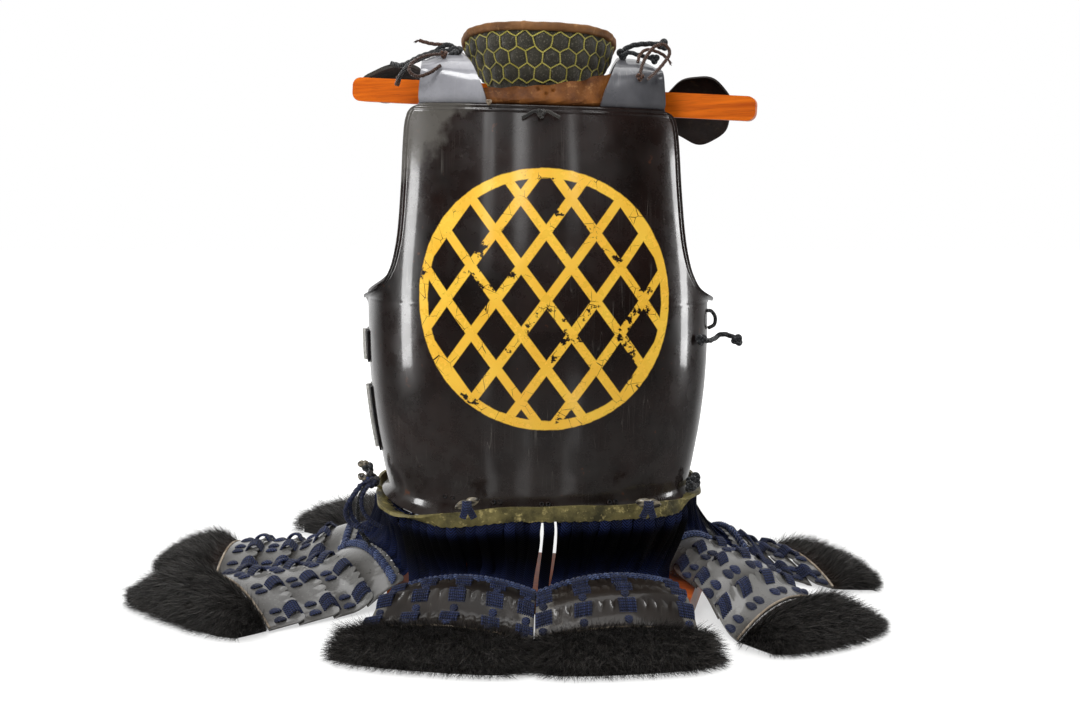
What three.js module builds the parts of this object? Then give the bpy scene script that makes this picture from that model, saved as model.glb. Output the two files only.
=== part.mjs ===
// A samurai armour, cuirass and skirt panels, hung on a plain wooden stand with its skirt panels spread round
// it on the floor. Millimetres, +Z up. The origin is on the floor under the middle of the armour, whose back
// faces -Y, with its hinged side at -X and its tied side at +X.
import * as THREE from 'three';

// ---- driving sizes ----------------------------------------------------------------------------------

const seam = 0.4; // clear gap between pieces that meet
const plateWall = 2.8;
const leatherWall = 2.4;

// How the armour hangs on the stand: turned by some degrees seen from above, moved across, and askew, so that
// it is lower towards +X, from level at the waist to some degrees at the top of the back.
const hanging = { turn: 3, shift: -2, askew: 1.6, levelBelow: 110, askewFrom: 483 };

const stand = {
  turn: -11.5, middleX: 11, middleY: -8,
  boardLength: 296, boardDepth: 155, boardThickness: 22,
  postSpacing: 190, postWidth: 30, postDepth: 20,
  barLength: 394, barHeight: 23, barDepth: 24, barCorner: 8, barCentre: 490.5, barTilt: 3.2,
};

// The torso's level sections: half width, half depth, and how far the wall is turned out there.
const squareness = 2.35;
const torso = [
  { z: 108, halfWidth: 147, halfDepth: 105, flare: 8 },
  { z: 112, halfWidth: 148, halfDepth: 106, flare: 3 },
  { z: 118, halfWidth: 149.5, halfDepth: 107, flare: 0 },
  { z: 140, halfWidth: 153.5, halfDepth: 111, flare: 0 },
  { z: 185, halfWidth: 161, halfDepth: 117, flare: 0 },
  { z: 235, halfWidth: 165.5, halfDepth: 121, flare: 0 },
  { z: 298, halfWidth: 166, halfDepth: 122, flare: 0 },
  { z: 340, halfWidth: 163, halfDepth: 120, flare: 0 },
  { z: 400, halfWidth: 156, halfDepth: 115, flare: 0 },
  { z: 483, halfWidth: 148, halfDepth: 107, flare: 0 },
];

// A plate's foot hangs below the lowest section at the middle and rises above it over the hips; the back
// plate's foot leans too, lower on its -X side. All of it fades out at the height given.
const foot = { drop: 10, rise: 13, lean: 5.2, fadedAt: 140 };

// Where each plate ends at the side, above the armpit: half width of the plate at that height.
const backOutline = [
  { z: 298, edge: 166 }, { z: 303, edge: 162 }, { z: 308, edge: 156.5 }, { z: 314, edge: 150.5 },
  { z: 322, edge: 145.5 }, { z: 334, edge: 140.5 }, { z: 360, edge: 135 }, { z: 405, edge: 131 },
  { z: 449, edge: 128.5 }, { z: 468, edge: 126 }, { z: 477, edge: 120.5 }, { z: 481.5, edge: 108 },
];
const frontOutline = [
  { z: 298, edge: 166 }, { z: 304, edge: 160 }, { z: 312, edge: 152 }, { z: 324, edge: 143 },
  { z: 342, edge: 134 }, { z: 370, edge: 126 }, { z: 400, edge: 121 }, { z: 430, edge: 117 },
  { z: 440, edge: 110 }, { z: 445, edge: 96 },
];

// The shoulder strap, from the back plate's top over the shoulder to the front plate.
const strapRows = [
  { y: -103, z: 483, inner: 51, outer: 112, drop: 0, onPlate: 1 },
  { y: -100, z: 498, inner: 56, outer: 111, drop: 0, onPlate: 0.85 },
  { y: -90, z: 512, inner: 63, outer: 110, drop: 2, onPlate: 0.45 },
  { y: -70, z: 522, inner: 70, outer: 109, drop: 7, onPlate: 0 },
  { y: -38, z: 527, inner: 74, outer: 109, drop: 10, onPlate: 0 },
  { y: 0, z: 527, inner: 75, outer: 109, drop: 10, onPlate: 0 },
  { y: 38, z: 520, inner: 74, outer: 109, drop: 8, onPlate: 0 },
  { y: 68, z: 502, inner: 70, outer: 107, drop: 4, onPlate: 0 },
  { y: 90, z: 474, inner: 66, outer: 102, drop: 0, onPlate: 0.6 },
  { y: 100, z: 447, inner: 64, outer: 98, drop: 0, onPlate: 1 },
];
const strapWall = 3;

// The standing collar: level rings from its foot to its brim, each an arc round the neck.
const neckMiddle = -18;
const collarReach = 118; // degrees from the back of the neck to each front end
const collarRings = [
  { share: 0, radiusX: 54, radiusY: 56 },
  { share: 0.5, radiusX: 61, radiusY: 65 },
  { share: 1, radiusX: 66, radiusY: 71 },
];
const collarHeights = [
  { turn: 0, foot: 488, brim: 550.5 },
  { turn: 40, foot: 491, brim: 549.5 },
  { turn: 75, foot: 508, brim: 544 },
  { turn: 118, foot: 514, brim: 528 },
];
const collarWall = 5;
const binding = { height: 7, wall: 7.5 };

// The leather neck piece between the straps, standing on the back plate's top edge.
const neckLeather = [
  { share: 0, footX: -48, topX: -49, top: 494 }, { share: 0.5, footX: 0, topX: 0, top: 498.5 },
  { share: 0.75, footX: 26, topX: 32, top: 504 }, { share: 1, footX: 48, topX: 60, top: 512 },
];

// The shoulder wings, shallow leather dishes: out is the way that each one's back bulges.
const wings = [
  { name: 'left', middle: [-153, 62, 507], out: [-0.2, 0.58, 0.79], radius: 34, bulge: 9 },
  { name: 'right', middle: [158, 44, 482], out: [0.25, 0.93, 0.3], radius: 35.5, bulge: 13 },
];

// The waist belt below the plates, squarer than the torso so that it stands off it at the corners.
const belt = {
  halfWidth: 160, halfDepth: 118, squareness: 2.9, top: 114, height: 15, wall: 3,
  sag: 13, sagAt: -56, sagSpread: 28,
};

// The skirt panels, each of four lames laid out on the floor. from and to are the panel's place on the belt,
// in degrees round it from the middle of the back towards +X. Its top edge and its hem run the same way, from
// one corner to the other, and bow up by the rise; settled is the share of its length after which it lies at
// its hem's height. The fur's ends reach the tips, and bulge by some millimetres between them.
const lames = 4;
const lameWall = 2.6;
const panels = [
  { name: 'back_left', from: -62, to: -1, topFrom: [-127, -77, 22], topTo: [-6, -98, 22], topRise: 13,
    hemFrom: [-172, -150, 1], hemTo: [-13, -180, 1], hemRise: 10, settled: 0.8, tipFrom: [-185, -238],
    tipTo: [-12, -278], bulge: 8 },
  { name: 'back_right', from: 1, to: 62, topFrom: [1, -98, 22], topTo: [125.5, -67.5, 24], topRise: 12,
    hemFrom: [0, -181, 1], hemTo: [146, -158, 1], hemRise: 10, settled: 1, tipFrom: [-8, -278],
    tipTo: [160, -254], bulge: 8 },
  { name: 'side_left_rear', from: -106, to: -63, topFrom: [-197, 39.5, 30], topTo: [-132, -53, 24],
    topRise: 20, hemFrom: [-328, -13.6, 17], hemTo: [-249.5, -141.7, 1], hemRise: 14, settled: 0.4,
    tipFrom: [-409, -40], tipTo: [-283, -166], bulge: 8 },
  { name: 'side_right_rear', from: 63, to: 106, topFrom: [115.8, 12, 27], topTo: [186, 60, 22],
    topRise: 24, hemFrom: [178, -175.4, 1], hemTo: [267, -68.6, 9], hemRise: 16, settled: 0.95,
    tipFrom: [212, -217], tipTo: [328, -130], bulge: 16 },
  { name: 'side_left_front', from: -140, to: -108, topFrom: [-186, 150, 20], topTo: [-194, 52, 22],
    topRise: 22, hemFrom: [-330, 174, 1], hemTo: [-338, 48, 1], hemRise: 17, settled: 0.5,
    tipFrom: [-396, 170], tipTo: [-406, 60], bulge: 4 },
  { name: 'side_right_front', from: 108, to: 140, topFrom: [206, 66, 20], topTo: [172, 150, 20], topRise: 18,
    hemFrom: [297, 0.5, 1], hemTo: [237, 125, 8], hemRise: 18, settled: 0.5, tipFrom: [346, 2],
    tipTo: [322, 118], bulge: 4 },
  { name: 'front_left', from: -178, to: -142, topFrom: [-48, 172, 18], topTo: [-128, 118, 18], topRise: 20,
    hemFrom: [-110, 292, 1], hemTo: [-222, 206, 1], hemRise: 20, settled: 0.5, tipFrom: [-176, 366],
    tipTo: [-298, 268], bulge: 6 },
  { name: 'front_right', from: 142, to: 178, topFrom: [146, 146, 18], topTo: [43, 150, 18], topRise: 20,
    hemFrom: [168, 262, 1], hemTo: [36, 268, 1], hemRise: 20, settled: 0.5, tipFrom: [174, 356],
    tipTo: [32, 362], bulge: 6 },
];
const furHeight = 28;

// The free cords, each along its own points.
const cords = [
  { name: 'cord_left_black', diameter: 5, colour: 'blackCord', points: [[-78, -66, 534], [-86, -64, 538],
    [-98, -60, 532], [-112, -52, 528], [-130, -38, 521], [-141, -28, 523]] },
  { name: 'cord_left_brown', diameter: 3.4, colour: 'brownCord', points: [[-88, -86, 528], [-97, -89, 527.5],
    [-107, -94, 525], [-116, -101, 519], [-118, -106, 512], [-111, -107, 507], [-100, -105.5, 510],
    [-90, -100, 517]] },
  { name: 'cord_right_black', diameter: 5, colour: 'blackCord', points: [[75, -58, 531], [80, -58, 535],
    [88, -60, 538], [103, -62, 539], [114, -62, 538]] },
  { name: 'cord_right_brown', diameter: 3.4, colour: 'brownCord', points: [[91, -95, 507], [93, -91, 517],
    [98, -86, 527], [105, -83, 535], [114, -80, 537], [119, -80, 530], [114, -84, 521], [106, -90, 512],
    [98, -97, 505]] },
  { name: 'cord_side_tie', diameter: 5, colour: 'blackCord', points: [[151, -62, 264], [161, -55, 261],
    [169, -46, 263], [174, -44, 266], [184, -42, 264], [190, -42, 260]] },
  { name: 'cord_waist_left', diameter: 5, colour: 'navyCord', points: [[-175, -41, 118], [-177, -43, 114],
    [-181, -45, 109], [-187, -45, 100], [-190, -42, 90], [-186, -40, 80], [-178, -42, 76]] },
];

// Oval toggles of horn: two at the back of the belt and two at its side, with their half sizes.
const toggles = [
  { name: 'back_left', middle: [-67, -130, 119], half: [12, 3, 5], tilt: 20 },
  { name: 'back_right', middle: [100, -124, 118], half: [12, 3, 5], tilt: -6 },
  { name: 'side_upper', middle: [-174, -22, 135], half: [6, 4, 4], tilt: 0 },
  { name: 'side_lower', middle: [-173, -34, 124], half: [6, 4, 4], tilt: -30 },
];

// ---- helpers ----------------------------------------------------------------------------------------

const degrees = Math.PI / 180;
const point = (x, y, z) => new THREE.Vector3(x, y, z);
const mix = THREE.MathUtils.lerp;

// Smooth value of a table's column at x, through its rows.
function smooth(table, key, column, x) {
  const last = table.length - 1;
  if (x <= table[0][key]) return table[0][column];
  if (x >= table[last][key]) return table[last][column];
  let i = 0;
  while (x > table[i + 1][key]) i += 1;
  const slope = (k) => {
    const a = table[Math.max(k - 1, 0)];
    const b = table[Math.min(k + 1, last)];
    return (b[column] - a[column]) / (b[key] - a[key]);
  };
  const span = table[i + 1][key] - table[i][key];
  const t = (x - table[i][key]) / span;
  const t2 = t * t;
  const t3 = t2 * t;
  return (2 * t3 - 3 * t2 + 1) * table[i][column] + (t3 - 2 * t2 + t) * span * slope(i)
    + (3 * t2 - 2 * t3) * table[i + 1][column] + (t3 - t2) * span * slope(i + 1);
}

// A closed solid between two grids of points, top and under, that share their edges' layout.
function between(top, under) {
  const rows = top.length;
  const columns = top[0].length;
  const points = [...top.flat(), ...under.flat()];
  const at = (i, j) => i * columns + j;
  const low = rows * columns;
  const faces = [];
  const quad = (a, b, c, d) => faces.push(a, b, c, a, c, d);
  for (let i = 0; i < rows - 1; i += 1) {
    for (let j = 0; j < columns - 1; j += 1) {
      quad(at(i, j), at(i, j + 1), at(i + 1, j + 1), at(i + 1, j));
      quad(low + at(i, j), low + at(i + 1, j), low + at(i + 1, j + 1), low + at(i, j + 1));
    }
  }
  for (let j = 0; j < columns - 1; j += 1) {
    quad(at(0, j + 1), at(0, j), low + at(0, j), low + at(0, j + 1));
    quad(at(rows - 1, j), at(rows - 1, j + 1), low + at(rows - 1, j + 1), low + at(rows - 1, j));
  }
  for (let i = 0; i < rows - 1; i += 1) {
    quad(at(i, 0), at(i + 1, 0), low + at(i + 1, 0), low + at(i, 0));
    quad(at(i + 1, columns - 1), at(i, columns - 1), low + at(i, columns - 1), low + at(i + 1, columns - 1));
  }
  const geometry = new THREE.BufferGeometry().setFromPoints(points);
  geometry.setIndex(faces);
  return facingOut(geometry);
}

// Turns every face round if the closed geometry is inside out.
function facingOut(geometry) {
  const position = geometry.getAttribute('position');
  const index = geometry.getIndex().array;
  const corner = [0, 1, 2].map(() => point(0, 0, 0));
  let volume = 0;
  for (let i = 0; i < index.length; i += 3) {
    corner.forEach((c, k) => c.fromBufferAttribute(position, index[i + k]));
    volume += corner[0].dot(corner[1].clone().cross(corner[2]));
  }
  if (volume < 0) {
    for (let i = 0; i < index.length; i += 3) [index[i + 1], index[i + 2]] = [index[i + 2], index[i + 1]];
  }
  return geometry;
}

const evenly = (count) => Array.from({ length: count + 1 }, (_, i) => i / count);

// A wall of one thickness on the surface at(u, v): inward is 1 or -1, the side of the surface it grows to.
function wall(at, us, vs, thickness, inward) {
  const step = 1e-3;
  const inner = (u, v) => {
    const here = at(u, v);
    const alongU = at(Math.min(u + step, 1), v).sub(at(Math.max(u - step, 0), v));
    const alongV = at(u, Math.min(v + step, 1)).sub(at(u, Math.max(v - step, 0)));
    return here.addScaledVector(alongU.cross(alongV).normalize(), inward * thickness);
  };
  return between(us.map((u) => vs.map((v) => at(u, v))), us.map((u) => vs.map((v) => inner(u, v))));
}

// A tube of a cord's diameter along hand-placed points.
function tube(points, diameter, steps) {
  const section = new THREE.Shape();
  const sides = 8;
  for (let k = 0; k < sides; k += 1) {
    const angle = (k / sides) * 2 * Math.PI;
    const [x, y] = [Math.cos(angle) * diameter / 2, Math.sin(angle) * diameter / 2];
    if (k === 0) section.moveTo(x, y);
    else section.lineTo(x, y);
  }
  const path = new THREE.CatmullRomCurve3(points.map((p) => point(...p)), false, 'centripetal');
  return new THREE.ExtrudeGeometry(section, { steps, extrudePath: path, bevelEnabled: false });
}

// A rounded bar: a rectangle with its corners cut by a small chamfer, run along its length on X.
function bar(length, depth, height, chamfer) {
  const [y, z] = [depth / 2, height / 2];
  const outline = new THREE.Shape([
    [-y + chamfer, -z], [y - chamfer, -z], [y, -z + chamfer], [y, z - chamfer],
    [y - chamfer, z], [-y + chamfer, z], [-y, z - chamfer], [-y, -z + chamfer],
  ].map(([a, b]) => new THREE.Vector2(a, b)));
  const geometry = new THREE.ExtrudeGeometry(outline, { depth: length, bevelEnabled: false });
  geometry.translate(0, 0, -length / 2);
  geometry.rotateX(Math.PI / 2).rotateZ(Math.PI / 2);
  return geometry;
}

// ---- finishes ---------------------------------------------------------------------------------------

function finish(color, roughness, metalness = 0) {
  return new THREE.MeshStandardMaterial({ color, roughness, metalness });
}
const finishes = {
  wood: finish(0xc0641e, 0.4),
  lacquer: finish(0x1c1414, 0.25),
  strapLacquer: finish(0x4a4c52, 0.35),
  lameLacquer: finish(0x6d6a66, 0.4),
  brownLeather: finish(0x7a4d30, 0.6),
  beltLeather: finish(0x6f6534, 0.7),
  collarCloth: finish(0x262422, 0.95),
  navyCord: finish(0x1f2a4d, 0.9),
  blackCord: finish(0x15161a, 0.9),
  brownCord: finish(0x5a3a2a, 0.9),
  fur: finish(0x1b1817, 1),
  iron: finish(0x1a1a1b, 0.5, 0.6),
  horn: finish(0x4b4034, 0.5),
};

const part = new THREE.Group();
const woodwork = new THREE.Group();
woodwork.position.set(stand.middleX, stand.middleY, 0);
woodwork.rotation.z = stand.turn * degrees;
part.add(woodwork);

function add(group, name, geometry, material) {
  const mesh = new THREE.Mesh(geometry, material);
  mesh.name = name;
  group.add(mesh);
  return mesh;
}

// Where a point of the armour's own frame comes once the armour hangs on the stand.
const vertical = new THREE.Vector3(0, 0, 1);
function hung(p) {
  const height = (p.z - hanging.levelBelow) / (hanging.askewFrom - hanging.levelBelow);
  const slope = Math.tan(hanging.askew * Math.max(height, 0) * degrees);
  return point(p.x, p.y, p.z - p.x * slope).applyAxisAngle(vertical, hanging.turn * degrees)
    .add(point(hanging.shift, 0, 0));
}

// A piece of the hung armour.
function hang(name, geometry, material) {
  const position = geometry.getAttribute('position');
  const corner = point(0, 0, 0);
  for (let i = 0; i < position.count; i += 1) {
    const to = hung(corner.fromBufferAttribute(position, i));
    position.setXYZ(i, to.x, to.y, to.z);
  }
  return add(part, name, geometry, material);
}

// ---- the stand --------------------------------------------------------------------------------------

const barSlope = Math.tan(stand.barTilt * degrees);

// Height of the crossbar's top face above a place on the floor.
function barTop(x, y) {
  const turn = stand.turn * degrees;
  const along = (x - stand.middleX) * Math.cos(turn) + (y - stand.middleY) * Math.sin(turn);
  return stand.barCentre - along * barSlope + stand.barHeight / 2 / Math.cos(stand.barTilt * degrees);
}

// How far a place on the floor is from under the crossbar's middle line.
function fromBar(x, y) {
  const turn = stand.turn * degrees;
  return Math.abs((y - stand.middleY) * Math.cos(turn) - (x - stand.middleX) * Math.sin(turn));
}

function buildStand() {
  const { boardThickness: top, barCentre, barDepth, barLength, barHeight, barCorner: corner } = stand;
  const upright = barHeight / Math.cos(stand.barTilt * degrees);
  const board = bar(stand.boardLength, stand.boardDepth, top, 2);
  add(woodwork, 'stand_base_board', board, finishes.wood).position.z = top / 2;

  const [x, z] = [barLength / 2 - corner, barHeight / 2 - corner];
  const face = new THREE.Shape();
  face.absarc(x, z, corner, 0, Math.PI / 2);
  face.absarc(-x, z, corner, Math.PI / 2, Math.PI);
  face.absarc(-x, -z, corner, Math.PI, 1.5 * Math.PI);
  face.absarc(x, -z, corner, 1.5 * Math.PI, 2 * Math.PI);
  const barBody = new THREE.ExtrudeGeometry(face, { depth: barDepth, curveSegments: 6, bevelEnabled: false });
  barBody.translate(0, 0, -barDepth / 2).rotateX(Math.PI / 2);
  const crossbar = add(woodwork, 'stand_crossbar', barBody, finishes.wood);
  crossbar.position.z = barCentre;
  crossbar.rotation.y = stand.barTilt * degrees;

  [-1, 1].forEach((side) => {
    const middle = side * stand.postSpacing / 2;
    const underBar = barCentre - (middle + stand.postWidth / 2) * barSlope - upright / 2;
    const height = underBar - top - 2 * seam;
    const post = new THREE.BoxGeometry(stand.postWidth, stand.postDepth, height);
    add(woodwork, side < 0 ? 'stand_post_left' : 'stand_post_right', post, finishes.wood)
      .position.set(middle, 0, top + seam + height / 2);
  });
}

// ---- the plates -------------------------------------------------------------------------------------

// Depth of a superellipse of half sizes a and b at the place x across it.
const depthAt = (x, a, b, power) => b * (1 - Math.min(Math.abs(x) / a, 1) ** power) ** (1 / power);

// Point of a superellipse in the direction turn from the middle of its back, side -1, or its front, side 1.
function onSection(turn, side, a, b, power) {
  const [s, c] = [Math.sin(turn), Math.cos(turn)];
  const radius = ((Math.abs(s) / a) ** power + (Math.abs(c) / b) ** power) ** (-1 / power);
  return [radius * s, side * radius * c];
}

function torsoSize(z) {
  const flare = smooth(torso, 'z', 'flare', z);
  return [smooth(torso, 'z', 'halfWidth', z) + flare, smooth(torso, 'z', 'halfDepth', z) + flare];
}

// One plate: a row of points at each height, from one side edge to the other.
function plate(side, outline) {
  const columns = evenly(20);
  const steady = { share: 0.7, turn: 50 * degrees }; // the middle columns run straight up at fixed turns
  const armpit = outline[0].z;
  const top = outline[outline.length - 1].z;
  const levels = [...torso.map((row) => row.z).filter((z) => z < armpit), ...outline.map((row) => row.z)];
  const edgeAt = (z) => smooth(outline, 'z', 'edge', z);
  const at = (u, v) => {
    const z = v * (top - torso[0].z) + torso[0].z;
    const [a, b] = torsoSize(z);
    const reach = z <= armpit
      ? Math.PI / 2 - seam / 2 / a
      : Math.atan2(edgeAt(z), depthAt(edgeAt(z), a, b, squareness));
    const across = Math.abs(2 * u - 1);
    const edge = Math.min(reach, Math.PI / 2 - seam / 2 / a);
    const turn = across < steady.share
      ? across / steady.share * steady.turn
      : mix(steady.turn, edge, (across - steady.share) / (1 - steady.share));
    const signed = Math.sign(2 * u - 1) * turn;
    const lean = side < 0 ? foot.lean * Math.sin(2 * signed) * Math.cos(turn) : 0;
    const drop = foot.drop - foot.rise * Math.sin(turn) ** 6 - lean;
    const fade = Math.max(0, (foot.fadedAt - z) / (foot.fadedAt - torso[0].z)) ** 2;
    const [x, y] = onSection(signed, side, a, b, squareness);
    return point(x, y, z - drop * fade);
  };
  const vs = levels.map((z) => (z - torso[0].z) / (top - torso[0].z));
  return wall(at, columns, vs, plateWall, side);
}

function buildPlates() {
  hang('back_plate', plate(-1, backOutline), finishes.lacquer);
  hang('front_plate', plate(1, frontOutline), finishes.lacquer);
}

// Point on the torso's -X side, out from its face, at the place y along it and the height z.
function onSide(y, z, out) {
  const [a, b] = torsoSize(z);
  return point(-(a + out) * (1 - (Math.abs(y) / (b + out)) ** squareness) ** (1 / squareness), y, z);
}

// Two hinges on the -X side: a leaf on each plate, and the pin between them that holds both.
function buildHinges() {
  const leafWidth = 20;
  const leafWall = 1.8;
  const pinWidth = 6;
  [{ name: 'upper', z: 251, height: 30 }, { name: 'lower', z: 181, height: 62 }].forEach((hinge) => {
    const zAt = (v) => hinge.z + (v - 0.5) * hinge.height;
    [-1, 1].forEach((side) => {
      const yAt = (u) => side * (pinWidth / 2 + seam + u * leafWidth);
      const leaf = wall((u, v) => onSide(yAt(u), zAt(v), seam), evenly(3), evenly(4), leafWall, -side);
      hang(`hinge_${hinge.name}_${side < 0 ? 'back' : 'front'}_leaf`, leaf, finishes.iron);
    });
    const route = evenly(4).map((v) => onSide(0, zAt(v), pinWidth / 2 + seam).toArray());
    hang(`hinge_${hinge.name}_pin`, tube(route, pinWidth, 4), finishes.iron);
  });
}

// ---- shoulders and neck -----------------------------------------------------------------------------

const backTop = backOutline[backOutline.length - 1].z;

// Point of a shoulder strap's outer face: along from the back plate at 0 to the front plate at 1, and across.
function onStrap(side, along, across) {
  const rows = strapRows.map((row, i) => ({ ...row, share: i / (strapRows.length - 1) }));
  const value = (column) => smooth(rows, 'share', column, along);
  const [a, b] = torsoSize(backTop);
  const x = mix(value('inner'), value('outer'), across);
  const onPlate = Math.max(0, Math.min(1, value('onPlate')));
  const plateY = Math.sign(value('y')) * depthAt(x, a, b, squareness);
  const drop = value('drop') * Math.max(0, (across - 0.3) / 0.7) ** 2;
  return point(side * x, mix(value('y'), plateY, onPlate), value('z') - drop);
}

function buildStraps() {
  [[-1, 'left'], [1, 'right']].forEach(([side, name]) => {
    const strap = wall((u, v) => onStrap(side, u, v), evenly(14), evenly(5), strapWall, -side);
    hang(`shoulder_strap_${name}`, strap, finishes.strapLacquer);
  });
}

// The padded cloth under each strap, which rests on the crossbar and carries the armour.
function buildPads() {
  const barHalf = stand.barDepth / 2 + 2;
  const easing = 0.45; // how steeply the pad's underside rises away from the bar
  const underStrap = strapWall + 1.2;
  [[-1, 'left'], [1, 'right']].forEach(([side, name]) => {
    const alongs = evenly(8).map((t) => mix(0.34, 0.63, t));
    const acrosses = evenly(4).map((t) => mix(0.03, 0.97, t));
    const topPoint = (u, v) => hung(onStrap(side, u, v)).add(point(0, 0, -underStrap));
    const top = alongs.map((u) => acrosses.map((v) => topPoint(u, v)));
    const under = top.map((row) => row.map((p) => {
      const clear = Math.max(0, fromBar(p.x, p.y) - barHalf) * easing;
      return point(p.x, p.y, Math.min(barTop(p.x, p.y) + seam + clear, p.z - 2));
    }));
    add(part, `shoulder_pad_${name}`, between(top, under), finishes.collarCloth);
  });
}

function buildNeckLeather() {
  const [a, b] = torsoSize(backTop);
  const foot = backTop + 2;
  const at = (u, v) => {
    const x = mix(smooth(neckLeather, 'share', 'footX', u), smooth(neckLeather, 'share', 'topX', u), v);
    const z = mix(foot, smooth(neckLeather, 'share', 'top', u), v);
    return point(x, -depthAt(x, a, b, squareness) + 0.25 * (z - foot), z);
  };
  hang('neck_leather', wall(at, evenly(12), evenly(2), leatherWall, 1), finishes.brownLeather);
}

// Point of the collar: turn round the neck in degrees, share from its foot at 0 to its brim at 1.
function onCollar(turn, share, raise = 0) {
  const radiusX = smooth(collarRings, 'share', 'radiusX', share);
  const radiusY = smooth(collarRings, 'share', 'radiusY', share);
  const foot = smooth(collarHeights, 'turn', 'foot', Math.abs(turn));
  const brim = smooth(collarHeights, 'turn', 'brim', Math.abs(turn));
  return point(radiusX * Math.sin(turn * degrees), neckMiddle - radiusY * Math.cos(turn * degrees),
    mix(foot, brim, share) + raise);
}

function buildCollar() {
  const turn = (u) => (2 * u - 1) * collarReach;
  const body = wall((u, v) => onCollar(turn(u), v), evenly(22), evenly(3), collarWall, 1);
  hang('collar', body, finishes.collarCloth);
  const shift = (binding.wall - collarWall) / 2;
  const brim = (u, v) => {
    const p = onCollar(turn(u), 1, seam + v * binding.height);
    const out = point(p.x, p.y - neckMiddle, 0).normalize();
    return p.addScaledVector(out, shift + 1.5 * v);
  };
  hang('collar_binding', wall(brim, evenly(22), evenly(1), binding.wall, 1), finishes.brownLeather);
}

function buildWings() {
  const thickness = 3.5;
  const arc = evenly(4);
  wings.forEach(({ name, middle, out, radius, bulge }) => {
    const outer = arc.map((t) => new THREE.Vector2(radius * t, bulge * (1 - t * t))).reverse();
    const inner = arc.map((t) => new THREE.Vector2((radius - 1) * t, bulge * (1 - t * t) - thickness));
    const dish = new THREE.LatheGeometry([...inner, ...outer], 18);
    const facing = new THREE.Quaternion().setFromUnitVectors(point(0, 1, 0), point(...out).normalize());
    dish.applyQuaternion(facing).translate(...middle);
    add(part, `shoulder_wing_${name}`, dish, finishes.brownLeather);
  });
}

// ---- the waist belt and its lacing ------------------------------------------------------------------

// Point of the belt: turn in degrees from the middle of the back, below its top, and out from its face.
function onBelt(turn, below, out = 0) {
  const side = Math.abs(turn) <= 90 ? -1 : 1;
  const folded = Math.abs(turn) <= 90 ? turn : Math.sign(turn) * (180 - Math.abs(turn));
  const [a, b] = [belt.halfWidth + out, belt.halfDepth + out];
  const [x, y] = onSection(folded * degrees, side, a, b, belt.squareness);
  const sag = belt.sag * Math.exp(-(((turn - belt.sagAt) / belt.sagSpread) ** 2));
  return point(x, y, belt.top - sag - below);
}

function buildBelt() {
  [['belt_back', -1], ['belt_front', 1]].forEach(([name, side]) => {
    const turn = (u) => (side < 0 ? mix(-88, 88, u) : mix(92, 268, u));
    const wrapped = (t) => (t > 180 ? t - 360 : t);
    const at = (u, v) => onBelt(wrapped(turn(u)), v * belt.height);
    hang(name, wall(at, evenly(24), evenly(1), belt.wall, -1), finishes.beltLeather);
  });
}

// Point of a skirt panel: across from -1 to 1, share of its length from top to hem, up from its underside.
function onPanel(panel, across, share, up) {
  const corner = (name) => point(...panel[name]);
  const top = corner('topFrom').lerp(corner('topTo'), (across + 1) / 2);
  const hem = corner('hemFrom').lerp(corner('hemTo'), (across + 1) / 2);
  const p = top.clone().lerp(hem, share);
  p.z = mix(top.z, hem.z, THREE.MathUtils.smoothstep(share, panel.settled - 0.4, panel.settled));
  p.z += mix(panel.topRise, panel.hemRise, share) * (1 - across * across) + up;
  return p;
}

// A panel's four lames as one stepped plate: each lame's top edge lies on the lame before it.
function lamePlate(panel) {
  const steps = [];
  for (let k = 0; k < lames; k += 1) {
    steps.push({ share: k / lames + (k ? 0.003 : 0), up: (k ? 2 : 1) * lameWall });
    steps.push({ share: (k + 1) / lames, up: lameWall });
  }
  const acrosses = evenly(10).map((t) => 2 * t - 1);
  const row = (step, up) => acrosses.map((a) => onPanel(panel, a, step.share, up));
  return between(steps.map((step) => row(step, step.up)), steps.map((step) => row(step, 0)));
}

// The fur at a panel's hem, a rounded pad that reaches the fur's tips on the floor.
function furPad(panel) {
  const shares = [0, 0.12, 0.35, 0.6, 0.82, 1];
  const acrosses = [-1, -0.93, -0.7, -0.35, 0, 0.35, 0.7, 0.93, 1];
  const at = (a, s, isTop) => {
    const hem = onPanel(panel, a, 1, 0);
    const before = onPanel(panel, a, 0.95, 0);
    const away = point(hem.x - before.x, hem.y - before.y, 0).normalize();
    const tip = point(...panel.tipFrom, 0).lerp(point(...panel.tipTo, 0), (a + 1) / 2)
      .addScaledVector(away, panel.bulge * (1 - a * a));
    const p = hem.clone().addScaledVector(away, 1).lerp(tip, s);
    const arch = hem.z * (1 - s) ** 1.5;
    const body = (furHeight * Math.sin(Math.PI * (0.2 + 0.62 * s)) + 3) * (1 - 0.7 * a ** 6) - 14 * s;
    return point(p.x, p.y, isTop ? arch + Math.max(body * (1 - 0.5 * s), 5) : arch * 0.7);
  };
  return between(shares.map((s) => acrosses.map((a) => at(a, s, true))),
    shares.map((s) => acrosses.map((a) => at(a, s, false))));
}

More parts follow.
